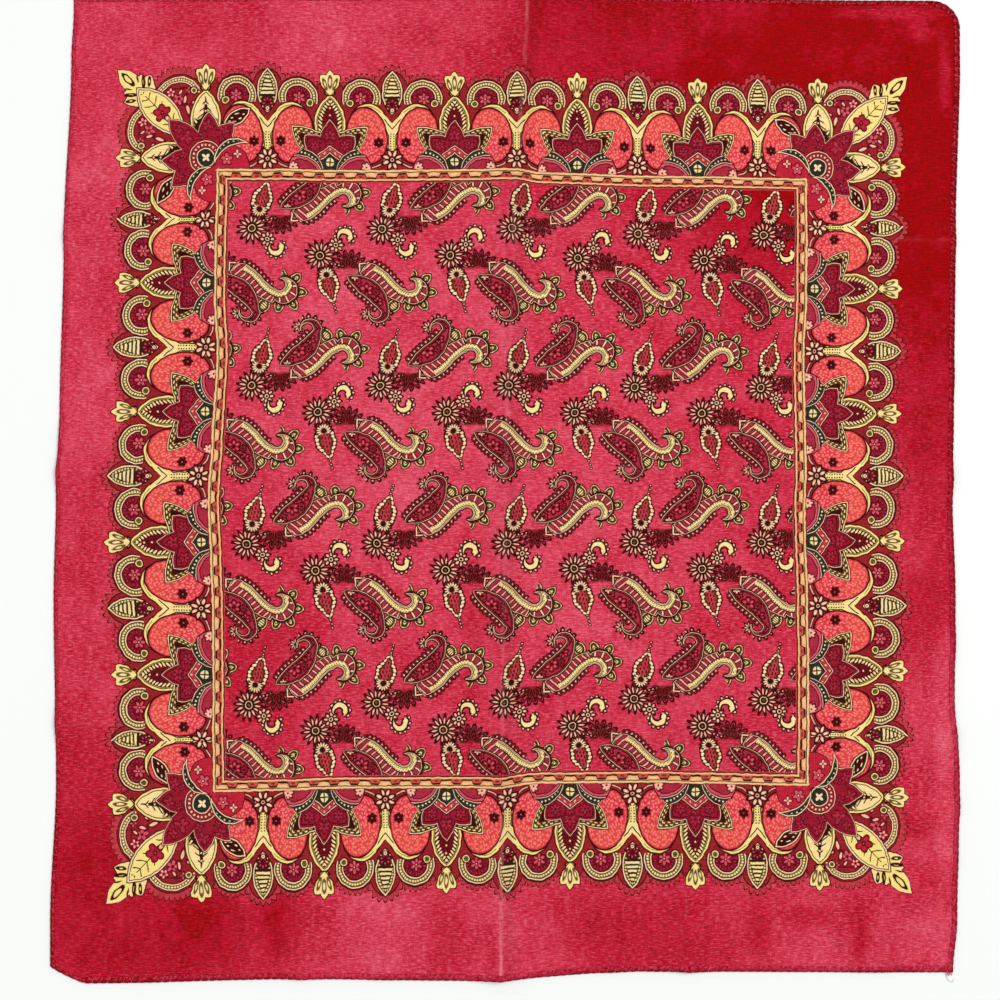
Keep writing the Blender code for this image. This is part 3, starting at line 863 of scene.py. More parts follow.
def printCornerHeart(sketch):
    pole = corner["pole"]
    x, y = sketch.point.split()
    horn = sketch.point.leaf((-12.0, 29.0), 56.0, 9.0, 3.6)
    sketch.ink(horn, (0.75, "bark"), (0.35, "cream"), (-0.45, "bark"))
    sketch.ink(joined(horn + 2.0, y.folded(1.1)).reach(), (0.45, "cream"))
    lobe = sketch.point.star(pole, corner["lobes"], -45.0)
    sketch.ink(lobe, (1.0, "bark"), (0.6, "cream"), (-0.05, "bark"), (-0.3, "maroon"))
    sketch.line(lobe + 2.3 + (x + y).folded(1.3) * 0.6, "wine", 0.3)
    for place, size in corner["flowers"]:
        sketch.bloom(place, 4, 1.9 * size, 1.7 * size, 0.95 * size, (0.35, "wine"), (-0.05, "plum"),
                     turn=20.0, within=lobe.under(-1.6))
    sketch.spot(pole, (10.0, "bark"), (9.7, "cream"), (9.1, "wine"), (8.7, "ruby"), (5.9, "wine"),
                (5.5, "cream"), (4.9, "bottle"))
    sketch.beads(pole, 7.3, 20, 0.85, (0.2, "wine"), (-0.1, "petal"))
    sketch.bloom(pole, 4, 1.5, 1.3, 0.8, (0.0, "cream"), turn=45.0)
    outer = sketch.point.disc(corner["wing"]["outer"], corner["wing"]["outerRadius"])
    inner = sketch.point.disc(corner["wing"]["inner"], corner["wing"]["innerRadius"])
    beyond = inner.andAlso(sketch.point.disc((-8.0, 2.0), 11.0))
    sketch.ink(beyond, (0.3, "line"), (0.0, "ruby"), within=y.over(0.2) * x.under(3.0))
    sketch.bloom(corner["wingFlower"], 5, 2.0, 1.5, 1.1, (0.4, "wine"), (0.0, "rose"),
                 within=inner.under(-0.5))
    sketch.spot(corner["wingFlower"], (1.0, "wine"), (0.6, "cream"))
    sketch.bloom((-12.4, 8.2), 4, 1.4, 1.1, 0.7, (0.3, "wine"), (0.0, "petal"), within=inner.under(-0.5))
    inside = x.over(-18.4) * y.over(0.3)
    shape = outer.andAlso(-inner)
    sketch.ink(shape, (0.55, "bark"), (0.25, "cream"), (-0.35, "bottle"), within=inside)
    sketch.beads(*corner["wing"]["beads"], (0.0, "cream"), within=shape.under(-1.0) * inside)


# One spray of the field, seen from the middle of its daisy, with y up.
spray = {
    "across": 75.4,  # from one spray to the next
    "rowHeight": 92.8,
    "lean": 0.35,  # how far the cut between two sprays leans, so that it crosses neither
    "left": -9.5,
    "low": -38.0,
    "uprightRow": (-2.5, 53.6),
    "mirroredRow": (-38.2, 38.0),
    "bodyTop": ((0.0, 3.0), (22.0, 5.5), (39.0, 0.0)),
    "bodyFoot": ((0.0, -3.0), (5.0, -6.0), (27.0, -3.0), (39.0, -6.0)),
    "hook": (55.0, 21.0),
    "hookRadius": 7.6,
    "hollow": (52.4, 17.5),
    "hollowRadius": 3.6,
    "notch": (47.4, 15.0),  # where the hollow opens
    "notchRadius": 5.0,
    "flowerTop": ((0.0, 0.0), (7.0, 2.0), (24.0, 0.5), (34.0, 1.0)),
    "flowerFoot": ((0.0, 0.0), (7.0, -6.5), (17.0, -9.5), (27.0, -6.5), (34.0, 0.0)),
    "seed": (4.9, 15.6),
    "seedOutline": ((0.0, 13.5), (0.06, 8.5), (0.25, 5.5), (0.5, 7.5)),
    "scallops": ((1.6, "bark"), (1.15, "plum"), (0.75, "bark"), (0.52, "petal")),  # along both botehs
    "flowers": (((27.2, 20.6), 3.4), ((33.8, 27.4), 2.6), ((21.6, 15.0), 2.2), ((29.6, 27.0), 1.9),
                ((32.8, 21.6), 1.8)),  # place and size
    "smallDaisy": (9.1, -6.3),
}


def printLeaflets(sketch):  # round the outside of the hooked end
    out, side = sketch.point.rays(spray["hook"], 7, 18.0)
    leaflet = joined(side + 1.2, out - 9.7).reach() - 3.8
    x, y = sketch.point.split()
    lone = sketch.point.leaf((43.2, 29.8), 34.0, 4.2, 3.2)
    outside = (x + y * 0.35).over(57.4)
    for shape, vein, where in ((leaflet, out + side, outside), (lone, x - y, y.over(20.0))):
        sketch.ink(shape, (0.75, "bark"), (0.25, "straw"), (-0.5, "bark"), (-0.8, "olive"), (-1.7, "straw"),
                   within=where)
        sketch.ink(vein.folded(0.85), (0.26, "bark"), within=shape.under(-0.1) * where)
    sketch.beads(spray["hook"], 8.0, 25, 0.8, (0.4, "bark"), (-0.3, "petal"), within=outside)


def printBodyBoteh(sketch):
    printLeaflets(sketch)
    along, up = sketch.point.seenFrom((25.5, 8.2), 33.0).split()
    top, foot = along.curve(spray["bodyTop"], "AUTO"), along.curve(spray["bodyFoot"], "AUTO")
    hollow = sketch.point.disc(spray["hollow"], spray["hollowRadius"])
    notch = hollow.orElse(sketch.point.disc(spray["notch"], spray["notchRadius"]))
    body = (up - top).andAlso(foot - up).andAlso(-0.6 - along).andAlso(along - 30.0)
    shape = body.orElse(sketch.point.disc(spray["hook"], spray["hookRadius"]).andAlso(-notch))
    bead = joined(along.folded(1.45), up - foot + 1.5, (1.0, 0.8)).reach()
    row = along.over(-1.0) * along.under(24.5)
    sketch.ink(bead, *spray["scallops"], within=row)
    inside = shape.under(-0.45)
    sketch.ink(shape, (0.75, "bark"), (0.15, "cream"), (-0.25, "bark"), (-0.65, "plum"))
    far = along.share(27.6, 28.6)
    depth = (up - foot + far * 60.0).orElse(hollow)
    rung = (along + up * 0.3).folded(1.7)
    spoke = sketch.point.rays(spray["hollow"], 13)[1]
    sketch.ink(rung, (0.8, "bark"), (0.5, "petal"), within=inside * along.under(28.5))
    sketch.ink(spoke, (0.85, "bark"), (0.5, "cream"), within=inside * along.over(28.5))
    sketch.ink(depth, (4.2, "bark"), (3.7, "straw"), (1.9, "yellow"), (1.2, "bark"), (0.85, "cream"),
               (0.3, "bark"), within=inside * along.over(5.0))
    dots = joined(along.folded(0.75), depth.folded(0.85)).reach()
    sketch.ink(dots, (0.36, "bark"), within=inside * along.over(6.0) * depth.under(3.5) * depth.over(1.7))


def printFlowerBoteh(sketch):
    along, up = sketch.point.seenFrom((16.5, 11.7), 47.0).split()
    top, foot = along.curve(spray["flowerTop"], "AUTO"), along.curve(spray["flowerFoot"], "AUTO")
    x, y = sketch.point.split()
    body = (up - top).andAlso(foot - up).andAlso(along - 33.8)
    curl = sketch.point.disc((34.4, 33.3), 6.3).andAlso(3.6 - sketch.point.away((32.4, 33.4)))
    shape = body.orElse(curl.andAlso(32.6 - y).andAlso(28.4 - x))
    out, side = sketch.point.rays((33.4, 33.0), 13)
    petals = joined(out - 7.9, side, (0.7, 1.0)).reach()
    sketch.ink(petals, (1.35, "bark"), (0.5, "petal"), within=y.over(32.0) * x.over(29.5))
    scallop = joined(along.folded(1.4), up - top - 1.5, (1.0, 0.75)).reach()
    row = along.over(1.0) * along.under(27.0)
    sketch.ink(scallop, *spray["scallops"], within=row)
    sketch.bloom((27.6, 34.6), 8, 1.9, 1.3, 0.45, (0.4, "bark"), (0.0, "petal"), within=x.under(30.0))
    sketch.ink(shape, (0.7, "bark"), (0.1, "cream"), (-0.35, "bark"), (-0.7, "plum"))
    inside = shape.under(-1.0)
    for place, size in spray["flowers"]:
        sketch.bloom(place, 6, size * 0.72, size * 0.5, size * 0.36, (0.4, "bark"), (0.0, "maroon"),
                     (-0.6, "rose"), within=inside)
        sketch.spot(place, (size * 0.26, "bark"), within=inside)
    sketch.bloom((20.4, 12.6), 5, 1.2, 1.0, 0.6, (0.35, "bark"), (0.0, "petal"), within=inside)
    sketch.line(shape + 1.5, "bark", 0.26)


def printSeedBoteh(sketch):
    x, y = sketch.point.seenFrom(spray["seed"], -15.0).split()
    seed = sketch.point.star(spray["seed"], spray["seedOutline"], -15.0)
    sketch.ink(seed, (0.6, "bark"), (-2.4, "olive"), (-2.9, "bark"), (-3.2, "brick"))
    kernel = joined(x.folded(0.9), (y + x).folded(1.3), (1.0, 0.6)).reach()
    sketch.ink(kernel, (0.4, "bark"), within=seed.under(-3.3))
    beads = joined(seed + 1.0, y.folded(1.1)).reach()
    sketch.ink(beads, (0.95, "cream"), within=y.over(-5.5))
    tail = joined(x, y.folded(1.15)).reach()
    sketch.ink(tail, (1.0, "bark"), (0.5, "petal"), within=y.over(12.2) * y.under(19.5))
    out, side = sketch.point.rays((3.9, 11.4), 15)
    fan = joined(out - 3.0, side, (0.35, 1.0)).reach()
    sketch.ink(fan, (0.95, "bark"), (0.52, "cream"), within=y.under(-2.5))


def printSmallFlowers(sketch):
    x, y = sketch.point.split()
    fan = y.under(7.6, 0.8)
    sketch.bloom((16.4, 8.6), 17, 7.6, 3.4, 1.25, (0.5, "bark"), (0.0, "plum"), (-0.3, "bark"),
                 (-0.6, "rose"), within=fan)
    sketch.bloom((16.4, 8.0), 13, 3.8, 3.0, 0.85, (0.45, "bark"), (0.0, "russet"), (-0.3, "bark"), within=fan)
    dots = joined(x.folded(1.1), y - x * 0.25 - 3.0).reach()
    sketch.ink(dots, (0.95, "bark"), (0.5, "petal"), within=x.over(4.5) * x.under(13.0))
    elbow = (23.0 - x).andAlso(4.6 - y)
    sketch.ink(abs(elbow), (0.85, "bark"), (0.42, "cream"), within=x.under(28.5) * y.under(10.5))
    sketch.bloom((0.0, 0.0), 14, 5.3, 2.0, 0.55, (0.6, "bark"), (0.0, "petal"), turn=6.0)
    sketch.spot((0.0, 0.0), (3.0, "bark"), (2.3, "cream"), (1.75, "bark"), (0.8, "olive"))
    sketch.bloom(spray["smallDaisy"], 8, 3.0, 1.1, 0.72, (0.6, "bark"), (0.0, "petal"))
    sketch.spot(spray["smallDaisy"], (1.8, "bark"), (1.3, "cream"), (0.7, "bark"))
    crescent = sketch.point.disc((14.2, -11.6), 4.3).andAlso(3.0 - sketch.point.away((13.6, -10.2)))
    crescent = crescent.orElse(sketch.point.disc((17.3, -10.6), 1.5))
    outside = (y - x * 0.45).under(-14.5)
    sketch.beads((14.2, -11.4), 5.7, 12, 0.72, (0.6, "bark"), (0.0, "petal"), within=outside)
    sketch.ink(crescent, (0.85, "bark"), (0.0, "straw"), within=y.under(-8.6))


def printSpray(sketch):
    printSmallFlowers(sketch)
    printSeedBoteh(sketch)
    printBodyBoteh(sketch)
    printFlowerBoteh(sketch)


def drawnGroup(name, paint):  # a group that prints over the cloth's colour
    group, taken, given = newGroup(name, {"Place": "Vector", "Cloth": "Color"}, {"Print": "Color"})
    sketch = Sketch(Point(group, taken["Place"]), taken["Cloth"])
    paint(sketch)
    wire(group, sketch.colour, given["Print"])
    print("print", name, len(group.nodes), "nodes")
    return group


def useGroup(tree, group, **sources):
    return addNode(tree, "ShaderNodeGroup", sources, node_tree=group).outputs


def streaks(tree, point, long, thin, detail=2.0, turn=0.0):  # noise drawn out along the threads
    sources = {"Vector": point.seenFrom((0.0, 0.0), turn, (long, thin)), "Scale": 1.0, "Detail": detail}
    node = addNode(tree, "ShaderNodeTexNoise", sources, noise_dimensions="2D")
    return Value(tree, node.outputs["Fac"])


dyed = {
    "deep": screenColour(156, 0, 4),
    "red": screenColour(174, 8, 32),
    "crimson": screenColour(192, 26, 52),
    "rose": screenColour(211, 58, 80),
    "pale": screenColour(226, 92, 110),
    "pit": screenColour(206, 118, 156),
    "nub": screenColour(246, 120, 146),
    "blotch": 42.0,  # mm, size of the uneven patches in the dye
    "fleck": 9.0,
    "smudge": 4.2,
}
woven = {
    "slubLong": 9.0,  # mm, thick places along the crosswise threads
    "slubThin": 0.5,
    "ribLong": 5.0,
    "ribThin": 0.55,
    "thread": 0.42,  # mm, from one thread to the next
    "depth": 0.5,
    "shadow": (0.14, 0.1, 0.12, 1.0),
    "glint": (0.86, 0.88, 0.86, 1.0),
}


def buildDyedGroup():
    group, taken, given = newGroup("dyedGround", {"Place": "Vector", "Fade": "Float"}, {"Colour": "Color"})
    point, dyeAndPaintedLight = Point(group, taken["Place"]), Value(group, taken["Fade"])
    blotch = streaks(group, point, dyed["blotch"], dyed["blotch"] * 0.8) - 0.5
    fleck = streaks(group, point, dyed["fleck"], dyed["fleck"] * 1.6) - 0.5
    smudge = streaks(group, point, dyed["smudge"], dyed["smudge"] * 0.45, 3.0) - 0.5
    tone = dyeAndPaintedLight + blotch * 0.5 + fleck * 0.3 + smudge * 0.4
    ramp = group.nodes.new("ShaderNodeValToRGB")
    stops = ramp.color_ramp.elements
    stops[0].position, stops[0].color = 0.03, dyed["deep"]
    stops[1].position, stops[1].color = 1.0, dyed["pale"]
    for position, name in ((0.18, "red"), (0.45, "crimson"), (0.72, "rose")):
        stops.new(position).color = dyed[name]
    wire(group, tone, ramp.inputs[0])
    colour = ramp.outputs["Color"]
    pit = streaks(group, point.seenFrom((53.0, 31.0)), 2.4, 1.0)
    colour = blend(group, pit.under(0.42, 0.12) * 0.5, colour, dyed["pit"], "MULTIPLY")
    nub = streaks(group, point, 3.0, 0.85)
    strength = dyeAndPaintedLight.share(0.08, 0.7) * 0.42
    colour = blend(group, nub.over(0.6, 0.1) * strength, colour, dyed["nub"])
    wire(group, colour, given["Colour"])
    return group


def buildWornAndShadedGroup():  # threads, creases and the reverse side, over whatever is printed, with painted shade and glint on the threads and painted shade and highlight at the creases
    takes = {"Colour": "Color", "Place": "Vector", "Creases": "Vector", "Fade": "Float", "Reverse": "Float"}
    gives = {"Colour": "Color", "Height": "Float", "Roughness": "Float"}
    group, taken, given = newGroup("wornAndShadedCloth", takes, gives)
    point = Point(group, taken["Place"])
    slub = streaks(group, point, woven["slubLong"], woven["slubThin"], 1.0)
    rib = streaks(group, point, woven["ribThin"], woven["ribLong"], 1.0)
    nub = streaks(group, point, 4.6, 0.42, 1.0)
    threads = (slub - 0.5) * 1.1 + (rib - 0.5) * 0.8
    light = (threads * 1.7).share(-0.5, 0.5)
    shine = blend(group, light, woven["shadow"], woven["glint"])
    colour = blend(group, woven["depth"], taken["Colour"], shine, "SOFT_LIGHT")
    dash = nub.over(0.66, 0.08) * 0.5
    colour = blend(group, dash, colour, screenColour(255, 206, 208), "SOFT_LIGHT")
    away = addNode(group, "ShaderNodeSeparateXYZ", {0: taken["Creases"]})
    middle, level, wearAndHighlight = (Value(group, output) for output in away.outputs)
    ragged = (streaks(group, point, 3.0, 5.0) - 0.5) * 2.4
    patchy = streaks(group, point, 9.0, 14.0).share(0.3, 0.7)
    # the pale line along the creases: partly wear of the fold, partly a painted highlight on its ridge
    wornAndPaintedLight = abs(middle + ragged).share(1.7, 0.2) * wearAndHighlight * patchy
    wornAndPaintedLight = wornAndPaintedLight + abs(level + ragged).share(1.6, 0.2) * patchy * 0.05
    shade = abs(middle - 4.0).share(6.0, 0.0) * 0.2
    colour = blend(group, shade, colour, screenColour(120, 6, 30), "MULTIPLY")
    colour = blend(group, wornAndPaintedLight, colour, screenColour(240, 150, 150))
    colour = blend(group, Value(group, taken["Reverse"]) * 0.55, colour, dyed["rose"])
    x, y = point.split()
    warp = x.folded(woven["thread"]) * (1.0 / woven["thread"])
    weft = y.folded(woven["thread"]) * (1.0 / woven["thread"])
    wire(group, colour, given["Colour"])
    wire(group, warp.orElse(weft) * 0.35 + slub * 0.9 + rib * 0.6, given["Height"])
    wire(group, slub * 0.1 + 0.74, given["Roughness"])
    return group


def newMaterial(name):
    material = bpy.data.materials.new(name)
    material.use_nodes = True
    tree = material.node_tree
    shader = tree.nodes["Principled BSDF"]
    return material, tree, shader


def readAttribute(tree, name, output):
    return addNode(tree, "ShaderNodeAttribute", attribute_name=name).outputs[output]


def readMap(tree, name):
    return addNode(tree, "ShaderNodeUVMap", uv_map=name).outputs["UV"]


def addBump(tree, shader, height, distance, strength):
    bump = addNode(tree, "ShaderNodeBump", {"Strength": strength, "Distance": distance, "Height": height})
    wire(tree, bump.outputs["Normal"], shader.inputs["Normal"])


fabric = {
    "sheen": {
        "Sheen Weight": 0.05,
        "Sheen Tint": screenColour(206, 52, 66),
        "Sheen Roughness": 0.45,
        "Specular IOR Level": 0.06,
    },
    "bump": 0.35,
    "bumpDepth": 0.00012,
}


def dressShader(tree, shader, **sources):  # sources are links, by the names of the shader's inputs
    for name, source in {**fabric["sheen"], **sources}.items():
        wire(tree, source, shader.inputs[name])


def buildClothMaterial(name, printing, mapName):
    material, tree, shader = newMaterial(name)
    place = readMap(tree, "flat")
    dyeAndPaintedLight = readAttribute(tree, "dyeAndPaintedLight", "Fac")
    colour = useGroup(tree, dyedGround, Place=place, Fade=dyeAndPaintedLight)["Colour"]
    if printing:
        colour = useGroup(tree, printing, Place=readMap(tree, mapName), Cloth=colour)["Print"]
    creases, reverse = readAttribute(tree, "creases", "Vector"), readAttribute(tree, "reverse", "Fac")
    wornAndPaintedLight = useGroup(tree, wornAndShadedCloth, Colour=colour, Place=place, Creases=creases, Fade=dyeAndPaintedLight, Reverse=reverse)
    wire(tree, wornAndPaintedLight["Colour"], shader.inputs["Base Color"])
    dressShader(tree, shader, Roughness=wornAndPaintedLight["Roughness"])
    addBump(tree, shader, wornAndPaintedLight["Height"], fabric["bumpDepth"], fabric["bump"])
    return material


dyedGround = buildDyedGroup()
wornAndShadedCloth = buildWornAndShadedGroup()


def printWandering(paint):
    def painted(sketch):
        sketch.point = unsteady(sketch.point)
        paint(sketch)
    return painted


def printBorderRepeat(sketch):
    x, y = sketch.point.split()
    sketch.point = joined(x.folded(half), y)
    printBorder(sketch)


def printFrameBand(sketch):  # the place is the flat cloth, and the band is mitred at its corners
    x, y = sketch.point.mirrored().split()
    fromSide, fromEnd = x - innerX, y - innerY
    side = (fromSide - fromEnd).over(0.0, 0.02)
    along = x + (y - x) * side
    sketch.point = joined(along, fromSide.andAlso(fromEnd))
    printFrame(sketch)


def printCornerFolded(sketch):
    x, y = sketch.point.split()
    sketch.point = joined(x.orElse(y), x.andAlso(y))
    printCorner(sketch)


sprayPrint = drawnGroup("sprayPrint", printSpray)


def printFieldRows(sketch):
    flat = sketch.point
    for row, upright in ((spray["uprightRow"], 1.0), (spray["mirroredRow"], -1.0)):
        x, y = flat.seenFrom(row, 0.0, (1.0, upright)).split()
        y = y.wrapped(spray["low"], spray["low"] + spray["rowHeight"])
        slide = y * spray["lean"]
        x = (x - slide).wrapped(spray["left"], spray["left"] + spray["across"]) + slide
        sketch.colour = useGroup(sketch.tree, sprayPrint, Place=joined(x, y), Cloth=sketch.colour)["Print"]


clothMaterials = {"margin": buildClothMaterial("dyed_margin", None, None)}
for region, paint, mapName in (("border", printBorderRepeat, "motif"), ("corner", printCornerFolded, "motif"),
                               ("frame", printFrameBand, "flat"), ("field", printFieldRows, "flat")):
    printing = drawnGroup(region + "Print", printWandering(paint))
    clothMaterials[region] = buildClothMaterial("printed_" + region, printing, mapName)


dyeAndPaintedLightPatches = (  # x, y, reach across, reach up, how much paler or (below nought) deeper the colour is there: partly uneven dye, partly painted sheen highlights and painted shade of the folds and wrinkles
    (-55.0, 45.0, 170.0, 200.0, 0.16),
    (205.0, 205.0, 160.0, 130.0, -0.46),
    (255.0, 110.0, 66.0, 200.0, -0.46),
    (135.0, 275.0, 200.0, 80.0, -0.1),
    (145.0, 150.0, 100.0, 80.0, -0.2),
    (-225.0, -255.0, 150.0, 86.0, -0.42),
    (-252.0, -175.0, 56.0, 110.0, -0.26),
    (-134.0, -252.0, 18.0, 46.0, -0.3),
    (-170.0, -262.0, 40.0, 40.0, -0.12),
    (-36.0, -266.0, 22.0, 40.0, -0.16),
    (66.0, -262.0, 60.0, 50.0, -0.26),
    (120.0, -262.0, 50.0, 50.0, -0.16),
    (-74.0, -256.0, 50.0, 46.0, 0.16),
    (-7.0, -266.0, 7.0, 26.0, -0.2),
    (150.0, -258.0, 12.0, 30.0, -0.26),
    (209.0, -262.0, 8.0, 30.0, -0.34),
    (178.0, -252.0, 22.0, 12.0, -0.2),
    (190.0, -272.0, 20.0, 16.0, 0.16),
    (250.0, -262.0, 24.0, 34.0, 0.2),
    (259.0, -150.0, 9.0, 130.0, 0.22),
    (238.0, -200.0, 30.0, 14.0, -0.2),
    (-150.0, -90.0, 70.0, 120.0, -0.2),
    (-20.0, -75.0, 16.0, 120.0, -0.16),
    (252.0, -66.0, 46.0, 46.0, -0.3),
    (254.0, 5.0, 40.0, 60.0, -0.06),
    (148.0, -6.0, 90.0, 170.0, -0.1),
    (-248.0, -40.0, 60.0, 90.0, -0.04),
    (-250.0, 60.0, 50.0, 50.0, 0.14),
    (-230.0, 220.0, 90.0, 130.0, 0.16),
    (-120.0, 275.0, 90.0, 60.0, 0.12),
    (259.0, 236.0, 8.0, 50.0, 0.5),
    (222.0, 281.0, 52.0, 7.0, 0.34),
    (244.0, 268.0, 18.0, 16.0, 0.3),
    (-180.0, 270.0, 60.0, 40.0, -0.18),
    (-242.0, 230.0, 50.0, 60.0, -0.16),
    (-245.0, -242.0, 40.0, 40.0, 0.08),
    (-248.0, -124.0, 40.0, 60.0, 0.08),
    (139.0, 268.0, 70.0, 40.0, 0.1),
    (251.0, -232.0, 30.0, 24.0, -0.12),
    (-3.0, -256.0, 16.0, 30.0, 0.2),
    (68.0, -42.0, 110.0, 120.0, 0.14),
    (-121.0, 147.0, 90.0, 90.0, 0.06),
)
# how strong that pale crease line is from the bottom to the top: partly wear, partly painted highlight
foldWearAndHighlight = ((-290.0, 0.55), (-240.0, 0.45), (-190.0, 0.2), (0.0, 0.12), (180.0, 0.12), (240.0, 0.22),
            (290.0, 0.3))
# the dye's level in the field, and the painted shade of the panels above the level fold beside the middle
# crease
dyeAndShadeBase = {
    "field": 0.6,
    "shadeRightOfFold": -0.36,
    "shadeLeftOfFold": -0.28,
    "leftReach": 60.0,
    "foldFrom": 150.0,
    "foldTo": 215.0,
}


def dyeAndPaintedLightAt(x, y, fromMiddle):
    dyeAndPaintedLight = dyeAndShadeBase["field"]
    for px, py, across, up, change in dyeAndPaintedLightPatches:
        out = math.hypot((x - px) / across, (y - py) / up)
        dyeAndPaintedLight += change * rounded(out, 1.0)
    above = eased((y - dyeAndShadeBase["foldFrom"]) / (dyeAndShadeBase["foldTo"] - dyeAndShadeBase["foldFrom"]))
    if fromMiddle > 0.0:  # painted shade: above the level fold the panel right of the middle crease is darker, and on the left only near that crease
        dyeAndPaintedLight += dyeAndShadeBase["shadeRightOfFold"] * above
    else:
        dyeAndPaintedLight += dyeAndShadeBase["shadeLeftOfFold"] * above * pressed(fromMiddle, dyeAndShadeBase["leftReach"])
    return min(1.0, max(0.0, dyeAndPaintedLight))


def regionOf(x, y):  # which part of the print a cell of the cloth belongs to, from its middle
    x, y = abs(x), abs(y)
    if x < innerX and y < innerY:
        return "field"
    if x < frameX and y < frameY:
        return "frame"
    if x > outerX or y > outerY:
        return "margin"
    if (x > cornerX and y > frameY) or (y > cornerY and x > frameX):
        return "corner"
    return "border"


sideStretch = printed["unit"] / printed["sideUnit"]


def motifPlace(region, middle, flat):
    x, y = flat
    if region == "border":
        if abs(middle[1]) > frameY:
            return x, abs(y) - frameY
        return y * sideStretch, abs(x) - frameX
    along, up = abs(x) - frameX, abs(y) - frameY
    return along, up if up > 0.0 else up * sideStretch


bakePlace = {"margin": 0.002, "width": 0.905, "underFrom": 0.915, "rimFrom": 0.908, "rimWidth": 0.004,
             "steep": 0.3}


def bakeSpot(flat, facing):
    u = (flat[0] / cloth["halfWidth"] + 1.0) / 2.0
    v = (flat[1] / cloth["halfHeight"] + 1.0) / 2.0
    edge = bakePlace["margin"]
    v = edge + v * (1.0 - 2.0 * edge)
    if facing > bakePlace["steep"]:
        return edge + u * (bakePlace["width"] - 2.0 * edge), v
    if facing < -bakePlace["steep"]:
        return bakePlace["underFrom"] + u * (1.0 - edge - bakePlace["underFrom"]), v
    return bakePlace["rimFrom"] + bakePlace["rimWidth"] * u, v


def addPiece(name, mesh):
    piece = bpy.data.objects.new(name, mesh)
    bpy.context.scene.collection.objects.link(piece)
    return piece


def plainCopy(piece, name):  # the piece with its modifiers applied, in its place
    bpy.context.view_layer.update()
    evaluated = piece.evaluated_get(bpy.context.evaluated_depsgraph_get())
    mesh = bpy.data.meshes.new_from_object(evaluated)
    old = piece.data
    bpy.data.objects.remove(piece)
    mesh.name = name
    if isinstance(old, bpy.types.Mesh):
        bpy.data.meshes.remove(old)
    else:
        bpy.data.curves.remove(old)
    return addPiece(name, mesh)


def buildCloth():
    columns, rows = len(stationsX), len(stationsY)
    points, flats, dyeAndPaintedLightValues, creases = [], [], [], []
    for flatY in stationsY:
        for flatX in stationsX:
            x, y = lieAt(flatX, flatY)
            lift = cloth["clearance"] + clothLift(flatX, flatY, x, y) + cloth["thickness"]
            points.append((x * mm, y * mm, lift * mm))
            flats.append((flatX, flatY))
            middle = fromUprights(x, y)[1]
            level = min(fromLevels(x, y), key=abs)
            dyeAndPaintedLightValues.append(dyeAndPaintedLightAt(x, y, middle))
            creases.append((middle, level, between(foldWearAndHighlight, y)))
    faces = [
        (row * columns + column, row * columns + column + 1, (row + 1) * columns + column + 1,
         (row + 1) * columns + column)
        for row in range(rows - 1) for column in range(columns - 1)
    ]
    mesh = bpy.data.meshes.new("cloth")
    mesh.from_pydata(points, [], faces)
    for material in clothMaterials.values():
        mesh.materials.append(material)
    order = list(clothMaterials)
    flatMap, motifMap = mesh.uv_layers.new(name="flat"), mesh.uv_layers.new(name="motif")
    for face in mesh.polygons:
        spots = [flats[v] for v in face.vertices]
        middle = [sum(spot[i] for spot in spots) / 4.0 for i in (0, 1)]
        region = regionOf(*middle)
        face.material_index = order.index(region)
        for loop, flat in zip(face.loop_indices, spots):
            flatMap.data[loop].uv = flat
            if region in ("border", "corner"):
                motifMap.data[loop].uv = motifPlace(region, middle, flat)
    mesh.attributes.new("dyeAndPaintedLight", "FLOAT", "POINT").data.foreach_set("value", dyeAndPaintedLightValues)
    flatCreases = [value for crease in creases for value in crease]
    mesh.attributes.new("creases", "FLOAT_VECTOR", "POINT").data.foreach_set("vector", flatCreases)
    piece = addPiece("printed_cloth", mesh)
    wall = piece.modifiers.new("wall", "SOLIDIFY")
    wall.thickness = cloth["thickness"] * mm
    wall.offset = -1.0
    piece = plainCopy(piece, "printed_cloth")
    mesh = piece.data
    reverse = mesh.attributes.new("reverse", "FLOAT", "FACE")
    flatMap = mesh.uv_layers["flat"]
    bakeMap = mesh.uv_layers.new(name="OFBake")
    for face in mesh.polygons:
        facing = face.normal.z
        reverse.data[face.index].value = 1.0 if facing < 0.0 else 0.0
        for loop in face.loop_indices:
            bakeMap.data[loop].uv = bakeSpot(flatMap.data[loop].uv, facing)
    mesh.shade_smooth()
    print("cloth", len(mesh.polygons), "faces")
    return piece


printedCloth = buildCloth()


hem = {
    "widths": {"left": 2.4, "bottom": 3.8, "right": 3.4, "top": 2.6},
    "heights": {"left": 1.5, "bottom": 1.8, "right": 1.7, "top": 1.6},
    "step": 1.0,  # spacing of the rolled hem's rings
    "sides": 12,
    "gap": 0.3,  # between two hems where they meet
    "dimple": 0.3,  # how far a stitch pulls the roll in
    "dimplePower": 8,  # the higher, the narrower
    "dimpleLean": 0.16,
    "stitch": 4.6,  # from one stitch to the next
    "wander": 0.25,
    "wanderSize": 7.0,
    "arcSteps": 26,
    "mapAround": 8.0,  # what its map counts once round
}


def cornerArc(corner, inset):
    sideX, sideY = corner
    shape = corners[corner]
    across, up = shape["across"] - inset, shape["up"] - inset
    upright = lies["rightEdge" if sideX > 0 else "leftEdge"]
    level = lies["topEdge" if sideY > 0 else "bottomEdge"]
    centreY = level[0 if sideX < 0 else -1][1] - sideY * (inset + up)
    centreX = between(upright, centreY) - sideX * (inset + across)
    bends = [math.radians(90.0 * step / hem["arcSteps"]) for step in range(hem["arcSteps"] + 1)]
    power = 2.0 / shape["power"]
    return [(centreX + sideX * across * max(0.0, math.cos(bend)) ** power,
             centreY + sideY * up * math.sin(bend) ** power) for bend in bends]


